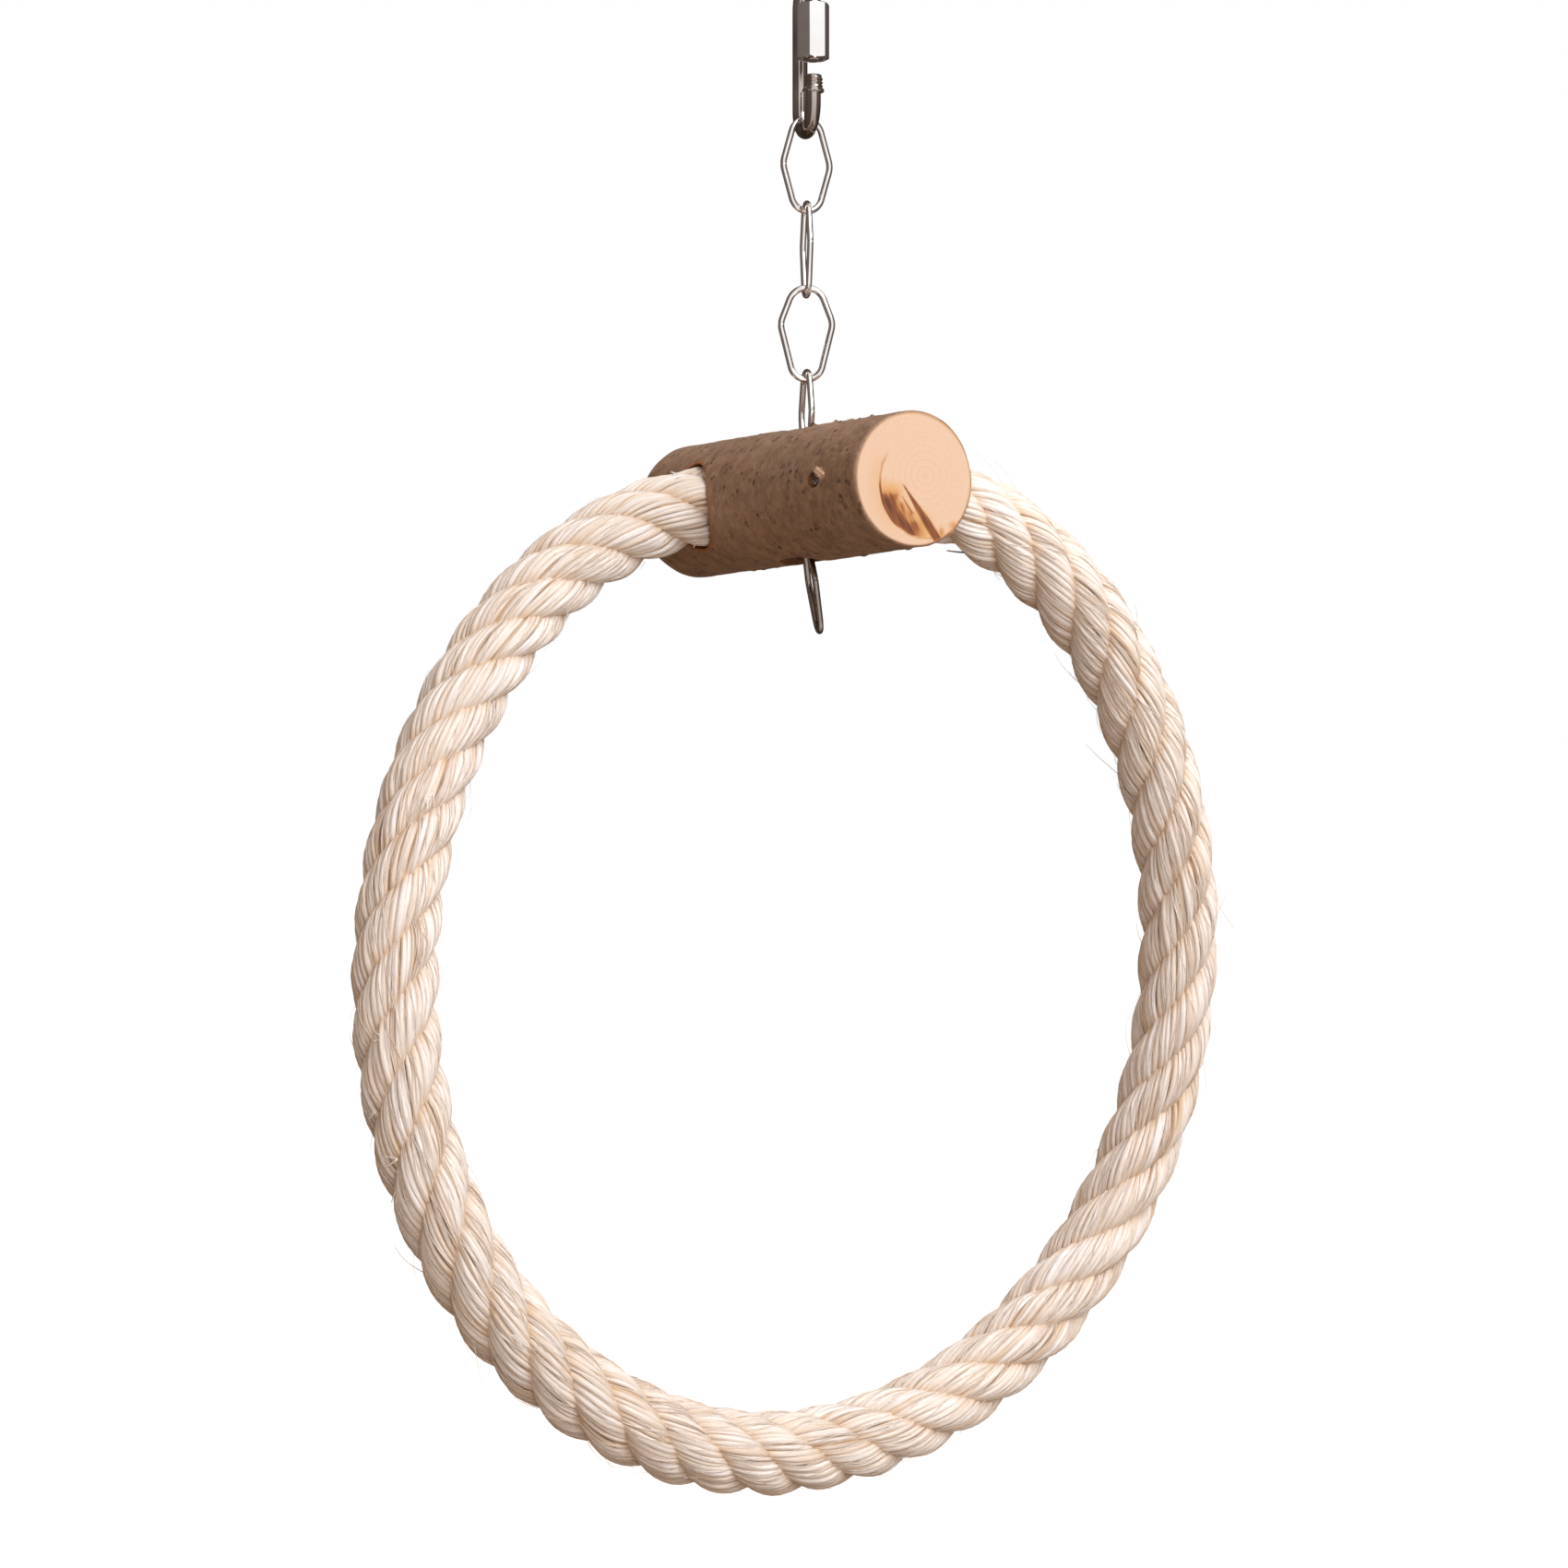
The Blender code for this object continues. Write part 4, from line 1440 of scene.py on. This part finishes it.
@dataclass
class ChainLink:
    """One link: a wire bent to round ends and blunt side corners, whose ends butt at one corner.

    The butts' rounding is how far from the end the wire is how much thinner. Points of the wire that are
    nearer to each other than the closest step are left out.
    """

    number: int
    hold_height: float
    hold_radius: float
    length: float
    turn: float
    corner_share: float
    lean: float = 0.0
    wire: float = 2.2
    width: float = 20.2
    end_half: float = 4.3
    corner: float = 2.2
    clearance: float = 0.3
    butt_gap: float = 0.06
    butt_rounding: tuple[tuple[float, float], ...] = ((0.0, 0.12), (0.12, 0.03), (0.3, 0.0))
    bend_steps: int = 12
    closest: float = 0.12
    bevel: int = 6

    def outline(self) -> list[Vector]:
        """Return the wire's line in the link's own plane.

        Returns:
            The points from the middle of one side corner round to the same place.
        """
        rise = self.hold_radius + self.clearance + self.wire / 2
        drop = rise - (self.length - self.wire)
        half = (self.width - self.wire) / 2
        level = rise - self.corner_share * (rise - drop)
        end = self.end_half
        corners = [(-half, level), (-end, rise), (end, rise), (half, level), (end, drop), (-end, drop)]
        reaches = [self.corner, end, end, self.corner, end, end]
        points = []
        for i, corner in enumerate(corners):
            here = Vector(corner)
            before = (Vector(corners[i - 1]) - here).normalized()
            after = (Vector(corners[(i + 1) % len(corners)]) - here).normalized()
            turn = math.pi - before.angle(after)
            radius = reaches[i] / math.tan(turn / 2)
            centre = here + (before + after).normalized() * radius / math.cos(turn / 2)
            first = (here + before * reaches[i] - centre).normalized()
            last = (here + after * reaches[i] - centre).normalized()
            for step in range(self.bend_steps + 1):
                rim = centre + first.slerp(last, step / self.bend_steps).normalized() * radius
                points.append(Vector((rim.x, 0.0, rim.y)))
        butt = self.bend_steps // 2
        return points[butt:] + points[: butt + 1]

    def line(self) -> Line:
        """Return the open wire.

        Returns:
            The wire's line with its butt ends a little apart and rounded over.
        """
        outline = self.outline()
        points = outline[:1]
        for point in outline[1:]:
            if (point - points[-1]).length > self.closest:
                points.append(point)
        radius = self.wire / 2
        first = (points[1] - points[0]).normalized()
        last = (points[-2] - points[-1]).normalized()
        steps = [self.butt_gap / 2 + reach for reach, _ in self.butt_rounding]
        head = [points[0] + first * step for step in steps]
        tail = [points[-1] + last * step for step in reversed(steps)]
        ease = [radius - less for _, less in self.butt_rounding]
        body = points[2:-2]
        return Line(head + body + tail, ease + [radius] * len(body) + ease[::-1])

    def build(self, steel: bpy.types.Material) -> None:
        """Make the link and let it ride on its own body.

        Args:
            steel: The link's finish.
        """
        name = f"chain_link_{self.number}"
        shape = sweep(name, [self.line()], resolution=self.bevel)
        lean = Matrix.Rotation(math.radians(self.lean), 4, "X")
        turn = Matrix.Rotation(math.radians(self.turn), 4, "Z")
        place = Matrix.Translation((0.0, 0.0, self.hold_height * MM)) @ turn @ lean
        bmesh.ops.transform(shape, matrix=place, verts=shape.verts)
        attach(new_piece(f"{name}_dressed", shape, [steel]), f"link_{self.number}", Slot.LINK, name)


@dataclass
class Chain:
    """The six links, four above the hidden pin and two below it."""

    top: float = -48.2
    top_radius: float = 2.6
    pin: float = -158.8
    pin_radius: float = 1.5
    link_length: float = 33.45
    wire: float = 2.2
    clearance: float = 0.3
    turns: tuple[float, ...] = (-4.0, 69.0, -29.0, 72.0, -60.0, 68.0)
    corner_shares: tuple[float, ...] = (0.50, 0.45, 0.39, 0.45, 0.45, 0.45)
    lowest_lean: float = -9.0
    above_pin: int = 4

    def links(self) -> list[ChainLink]:
        """Return the links.

        Returns:
            The six links from the quick link down.
        """
        drop = self.link_length - 2 * self.wire - self.clearance
        height, radius = self.top, self.top_radius
        holds = []
        for _ in range(self.above_pin):
            holds.append((height, radius, self.link_length))
            height -= drop + self.wire / 2 - radius
            radius = self.wire / 2
        long_link = self.link_length + 2 * self.pin_radius + self.clearance
        holds.append((self.pin, self.pin_radius, long_link))
        height = self.pin + self.pin_radius + self.clearance + self.wire / 2 - (long_link - self.wire)
        holds.append((height, radius, self.link_length))
        shapes = zip(holds, self.turns, self.corner_shares)
        links = [ChainLink(i, *hold, turn, share) for i, (hold, turn, share) in enumerate(shapes, start=1)]
        links[-1].lean = self.lowest_lean
        return links

    def build(self) -> None:
        """Make every link in polished wire, the lowest one darker, with painted shade where the log keeps
        the light off it.
        """
        steel = PolishedSteel("polished_wire_steel", "#FFFBF8", "#EAE2DD", (0.06, 0.11), 9.0).make()
        # A darker copy of the wire steel for the lowest link: painted shade under the log
        darker_tone = PolishedSteel("shaded_wire_steel", "#A4988F", "#82776F", (0.08, 0.16), 9.0).make()
        *upper, lowest = self.links()
        for link in upper:
            link.build(steel)
        lowest.build(darker_tone)


@dataclass
class QuickLink:
    """The open quick link at the top: a bent rod with a threaded gate and a hexagonal sleeve."""

    wire: float = 5.2
    length: float = 56.0
    span: float = 17.0
    turn: float = 76.0
    neck: float = 3.1
    collar_diameter: float = 7.4
    collar_height: float = 1.2
    thread_diameter: float = 6.6
    thread_depth: float = 0.4
    thread_pitch: float = 1.2
    stub_threads: int = 4
    arm_threads: int = 14
    sleeve_length: float = 19.3
    sleeve_flats: float = 10.0
    sleeve_chamfer: float = 1.2
    sleeve_bevel: float = 0.35
    sleeve_sharp: float = 20.0
    sleeve_steps: int = 96
    sleeve_lift: float = 9.5
    sleeve_turn: float = 18.0
    clearance: float = 0.3
    bow_steps: int = 36
    thread_steps: int = 28
    thread_flat: float = 0.08
    thread_sink: float = 0.15
    thread_share: float = 0.44

    def heights(self) -> tuple[float, float, float, float]:
        """Return the heights at which the rod changes.

        Returns:
            The height of the lower bow's ends, of the collar, of the stub's top and of the arm's thread.
        """
        bow = self.span / 2
        bottom = 1.5 * self.wire - self.length + bow
        collar = bottom + self.neck
        stub = collar + self.collar_height + self.stub_threads * self.thread_pitch
        return bottom, collar, stub, self.wire / 2 - bow - self.neck

    def rod_line(self) -> Line:
        """Return the bent rod without its threads.

        Returns:
            Its line in its own plane, from the stub's top round both bows to the arm's end.
        """
        bow = self.span / 2
        radius = self.wire / 2
        core = self.thread_diameter / 2 - self.thread_depth
        collar_radius = self.collar_diameter / 2
        bottom, collar, stub, arm = self.heights()
        shoulder = collar + self.collar_height
        knots = [(stub, core - 0.5), (stub - 0.1, core - 0.2), (stub - 0.35, core), (shoulder + 0.1, core)]
        knots += [(shoulder, collar_radius - 0.25), (shoulder - 0.2, collar_radius)]
        knots += [(collar + 0.25, collar_radius), (collar + 0.05, collar_radius - 0.2)]
        knots += [(collar, radius + 0.25), (collar - 0.2, radius)]
        points = [Vector((-bow, 0.0, height)) for height, _ in knots]
        radii = [size for _, size in knots]
        top = radius - bow
        for centre, first in ((bottom, math.pi), (top, 0.0)):
            for i in range(self.bow_steps + 1):
                angle = first + math.pi * i / self.bow_steps
                points.append(Vector((bow * math.cos(angle), 0.0, centre + bow * math.sin(angle))))
                radii.append(radius)
        end = arm - self.arm_threads * self.thread_pitch
        for height, size in ((arm + 0.2, radius), (arm, core), (end + 0.35, core), (end, core - 0.4)):
            points.append(Vector((-bow, 0.0, height)))
            radii.append(size)
        return Line(points, radii)

    def add_thread(self, shape: bmesh.types.BMesh, top: float, turns: float) -> None:
        """Wind a V-shaped ridge round the rod's core.

        Args:
            shape: The rod's bmesh, still in the link's own plane.
            top: The height at which the thread starts.
            turns: The number of turns downwards.
        """
        crest = self.thread_diameter / 2
        root = crest - self.thread_depth - self.thread_sink
        half = self.thread_share * self.thread_pitch
        corners = [(root, half), (crest, self.thread_flat), (crest, -self.thread_flat), (root, -half)]
        middle = Vector((-self.span / 2, 0.0, 0.0))
        points = [shape.verts.new((middle + Vector((r, 0.0, top - half + z))) * MM) for r, z in corners]
        face = shape.faces.new(points)
        steps = round(self.thread_steps * turns)
        bmesh.ops.spin(
            shape,
            geom=[face, *face.edges, *points],
            cent=middle * MM,
            axis=(0.0, 0.0, 1.0),
            dvec=(0.0, 0.0, -self.thread_pitch * turns * MM / steps),
            angle=2 * math.pi * turns,
            steps=steps,
        )

    def build_rod(self) -> None:
        """Make the bent rod with its two threads."""
        steel = PolishedSteel(
            "polished_rod_steel",
            "#CDC2BC",
            "#A99D97",
            (0.08, 0.15),
            12.0,
            plain_above=-36.0,
            browner_below=-50.0,
        ).make()
        shape = sweep("quick_link_rod", [self.rod_line()], resolution=10)
        _, _, stub, arm = self.heights()
        self.add_thread(shape, stub - 0.2, self.stub_threads - 0.7)
        self.add_thread(shape, arm - 0.1, self.arm_threads - 0.6)
        bmesh.ops.remove_doubles(shape, verts=shape.verts, dist=1e-7)
        turn = Matrix.Rotation(math.radians(self.turn), 4, "Z")
        bmesh.ops.transform(shape, matrix=turn, verts=shape.verts)
        piece = new_piece("quick_link_rod", shape, [steel], sharp=35.0)
        attach(piece, Body.QUICK_LINK.value, Slot.QUICK_LINK, "quick_link_body")

    def build_sleeve(self) -> None:
        """Make the hexagonal sleeve, screwed up so that the link is open."""
        steel = PolishedSteel("polished_sleeve_steel", "#FEFDFC", "#EFEAE6", (0.08, 0.14), 14.0).make()
        _, collar, _, _ = self.heights()
        low = collar + self.collar_height + self.clearance + self.sleeve_lift
        turn = Matrix.Rotation(math.radians(self.turn), 4, "Z")
        arm = turn @ Vector((-self.span / 2, 0.0, low + self.sleeve_length / 2))
        place = Matrix.Translation(arm * MM)
        corner = self.sleeve_flats / math.sqrt(3)
        half = self.sleeve_length / 2
        shape = bmesh.new()
        # A hexagonal bar with eased edges
        add_cone(shape, Vector((0.0, 0.0, -half)), Vector((0.0, 0.0, half)), corner, corner, 6)
        upright = [e for e in shape.edges if abs(e.verts[0].co.z - e.verts[1].co.z) > half * MM]
        bmesh.ops.bevel(
            shape,
            geom=upright,
            offset=self.sleeve_bevel * MM,
            offset_type="OFFSET",
            affect="EDGES",
            segments=3,
            profile=0.5,
            material=-1,
        )
        spin = Matrix.Rotation(math.radians(self.sleeve_turn), 4, "Z")
        bmesh.ops.transform(shape, matrix=place @ spin, verts=shape.verts)
        sleeve = new_piece("quick_link_sleeve_dressed", shape, [steel], sharp=self.sleeve_sharp)
        # A turned barrel chamfers its ends and bores it
        rim = corner - self.sleeve_chamfer
        ease = self.sleeve_chamfer * math.tan(math.radians(30.0))
        bore = self.thread_diameter / 2 + self.clearance
        top = [(bore, half - 0.5), (bore + 0.5, half), (rim - 0.2, half), (rim, half - 0.1)]
        top.append((corner + 0.2, half - ease - 0.12))
        outline = top + [(radius, -height) for radius, height in reversed(top)] + top[:1]
        barrel = new_piece("sleeve_barrel", turned_shape(outline, place, self.sleeve_steps), [steel])
        apply_boolean(sleeve, barrel, "INTERSECT")
        sleeve.data.shade_smooth()
        sleeve.data.set_sharp_from_angle(angle=math.radians(self.sleeve_sharp))
        attach(sleeve, Body.SLEEVE.value, Slot.SLEEVE, "quick_link_sleeve")


# Studio


@dataclass(frozen=True)
class Lamp:
    """A square soft light that faces the middle of the object, with its power in watts.

    Its place is along the camera's right, up and towards the camera, in metres like its size. The steel
    shows it where it is mirrored.
    """

    name: str
    place: tuple[float, float, float]
    size: float
    power: float
    mirrored: bool = False


@dataclass
class Studio:
    """The camera, the white sweep and the soft light round the object."""

    turn: float = 29.0
    distance: float = 1165.5
    aside: float = -7.7
    height: float = -271.1
    half_view: float = 850 / 3700
    clip_start: float = 10.0
    floor_height: float = -720.0
    floor_size: float = 40.0
    steel_height: float = -100.0
    target_height: float = -260.0
    ambient: float = 0.36
    even_light: str = "#FFE2C8"
    paper: str = "#8E755B"
    paper_glow: float = 0.98
    left_wall: str = "#6F6561"
    right_wall: str = "#70655F"
    back_wall: str = "#554A44"
    lamp_colour: tuple[float, float, float] = (0.94, 1.0, 1.09)
    lamps: tuple[Lamp, ...] = (
        Lamp("key", (0.75, 1.2, 0.8), 1.0, 17.0, mirrored=True),
        Lamp("front", (0.3, 0.3, 1.6), 1.0, 10.5),
        Lamp("side", (0.6, 0.1, 0.35), 0.4, 1.5),
        Lamp("back", (-0.5, 0.7, -1.2), 1.0, 7.0),
    )

    def directions(self) -> tuple[Vector, Vector]:
        """Return the camera's level directions.

        Returns:
            Its view direction and its right-hand side.
        """
        angle = math.radians(self.turn)
        view = Vector((math.sin(angle), math.cos(angle), 0.0))
        return view, Vector((view.y, -view.x, 0.0))

    def add_camera(self) -> None:
        """Set the camera level, at the photograph's angle."""
        view, right = self.directions()
        data = bpy.data.cameras.new("camera")
        data.angle = 2 * math.atan(self.half_view)
        data.clip_start = self.clip_start * MM
        camera = link_object("camera", data)
        up = Vector((0.0, 0.0, self.height))
        camera.location = (view * -self.distance + right * self.aside + up) * MM
        camera.rotation_euler = (math.radians(90.0), 0.0, math.radians(-self.turn))
        bpy.context.scene.camera = camera

    def add_light(self, lamp: Lamp) -> None:
        """Add a light that the camera doesn't see.

        Args:
            lamp: The light.
        """
        view, right = self.directions()
        aside, up, near = lamp.place
        target = Vector((0.0, 0.0, self.target_height * MM))
        data = bpy.data.lights.new(lamp.name, "AREA")
        data.size = lamp.size
        data.energy = lamp.power
        data.color = self.lamp_colour
        light = link_object(lamp.name, data)
        light.visible_camera = False
        light.visible_glossy = lamp.mirrored
        light.location = target + right * aside + Vector((0.0, 0.0, up)) - view * near
        light.rotation_euler = (target - light.location).to_track_quat("-Z", "Y").to_euler()

    def mirrored_walls(self, tree: bpy.types.NodeTree, way: bpy.types.NodeSocket) -> bpy.types.NodeSocket:
        """Return the colour that the steel mirrors: white in front, darker on both sides and behind.

        Args:
            tree: The node tree to add to.
            way: The direction that is mirrored.

        Returns:
            The colour's socket.
        """
        view, right = self.directions()
        across = add_node(tree, "VectorMath", (way, right), "Value", operation="DOT_PRODUCT")
        share = add_node(tree, "MapRange", (across, -1.0))
        sides = ((0.29, self.left_wall), (0.40, WHITE), (0.84, WHITE), (0.92, self.right_wall))
        walls = add_node(tree, "ValToRGB", (share,), stops=sides)
        behind = add_node(tree, "VectorMath", (way, view), "Value", operation="DOT_PRODUCT")
        shade = add_node(tree, "MapRange", (behind, 0.0, 0.5))
        back = {SHARE: shade, UNDER: walls, OVER: linear(self.back_wall)}
        return add_node(tree, "Mix", back, **COLOUR_MIX)

    def add_world(self) -> None:
        """Set an even warm light, white where it is seen, with darker walls for the steel to mirror."""
        world = bpy.data.worlds.new("studio")
        bpy.context.scene.world = world
        world.use_nodes = True
        tree = world.node_tree
        walls = self.mirrored_walls(tree, add_node(tree, "TexCoord", out="Generated"))
        path = add_node(tree, "LightPath").node.outputs
        mirror = path["Is Glossy Ray"]
        sight = add_node(tree, "Mix", {SHARE: mirror, UNDER: linear(WHITE), OVER: walls}, **COLOUR_MIX)
        seen = add_node(tree, "Math", (path["Is Camera Ray"], mirror), operation="MAXIMUM")
        seen = add_node(tree, "Math", (seen, path["Is Transmission Ray"]), operation="MAXIMUM")
        even = tree.nodes["Background"]
        feed(even, {"Color": linear(self.even_light), "Strength": self.ambient})
        white = add_node(tree, "Background", {"Color": sight, "Strength": 1.0})
        mixed = add_node(tree, "MixShader", (seen, even.outputs["Background"], white))
        feed(tree.nodes["World Output"], {"Surface": mixed})

    def add_floor(self) -> None:
        """Lay a floor well below the ring, which the camera sees as white and the steel as the walls."""
        shape = bmesh.new()
        bmesh.ops.create_grid(shape, x_segments=1, y_segments=1, size=self.floor_size)
        level = Matrix.Translation((0.0, 0.0, self.floor_height * MM))
        bmesh.ops.transform(shape, matrix=level, verts=shape.verts)
        material, tree, shader = new_material("warm_paper_sweep")
        feed(shader, {"Base Color": linear(self.paper), "Roughness": 0.9})
        path = add_node(tree, "LightPath").node.outputs
        seen = add_node(tree, "Math", (path["Is Camera Ray"], self.paper_glow), operation="MULTIPLY")
        white = add_node(tree, "Emission", {"Color": linear(WHITE), "Strength": seen})
        lit = add_node(tree, "AddShader", (shader.outputs["BSDF"], white))
        place = add_node(tree, "TexCoord", out="Object")
        steel = (0.0, 0.0, self.steel_height * MM)
        way = add_node(tree, "VectorMath", (place, steel), operation="SUBTRACT")
        way = add_node(tree, "VectorMath", (way,), operation="NORMALIZE")
        walls = add_node(tree, "Emission", {"Color": self.mirrored_walls(tree, way), "Strength": 1.0})
        mixed = add_node(tree, "MixShader", (path["Is Glossy Ray"], lit, walls))
        feed(tree.nodes["Material Output"], {"Surface": mixed})
        new_piece("floor", shape, [material])

    def build(self) -> None:
        """Set up the camera, the world, the floor and the lights."""
        bpy.context.scene.view_settings.view_transform = "Standard"
        self.add_camera()
        self.add_world()
        self.add_floor()
        for lamp in self.lamps:
            self.add_light(lamp)


def main() -> None:
    """Build the studio and every sub-assembly."""
    logging.basicConfig(level=logging.INFO, format="%(message)s")
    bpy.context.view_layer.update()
    Studio().build()
    rope = SisalRope()
    rope.build()
    log = HazelLog()
    sawn = SawnHazel().make()
    log.build(rope, sawn)
    Fixings(log, rope).build(sawn)
    Chain().build()
    quick_link = QuickLink()
    quick_link.build_rod()
    quick_link.build_sleeve()


if __name__ == "__main__":
    main()
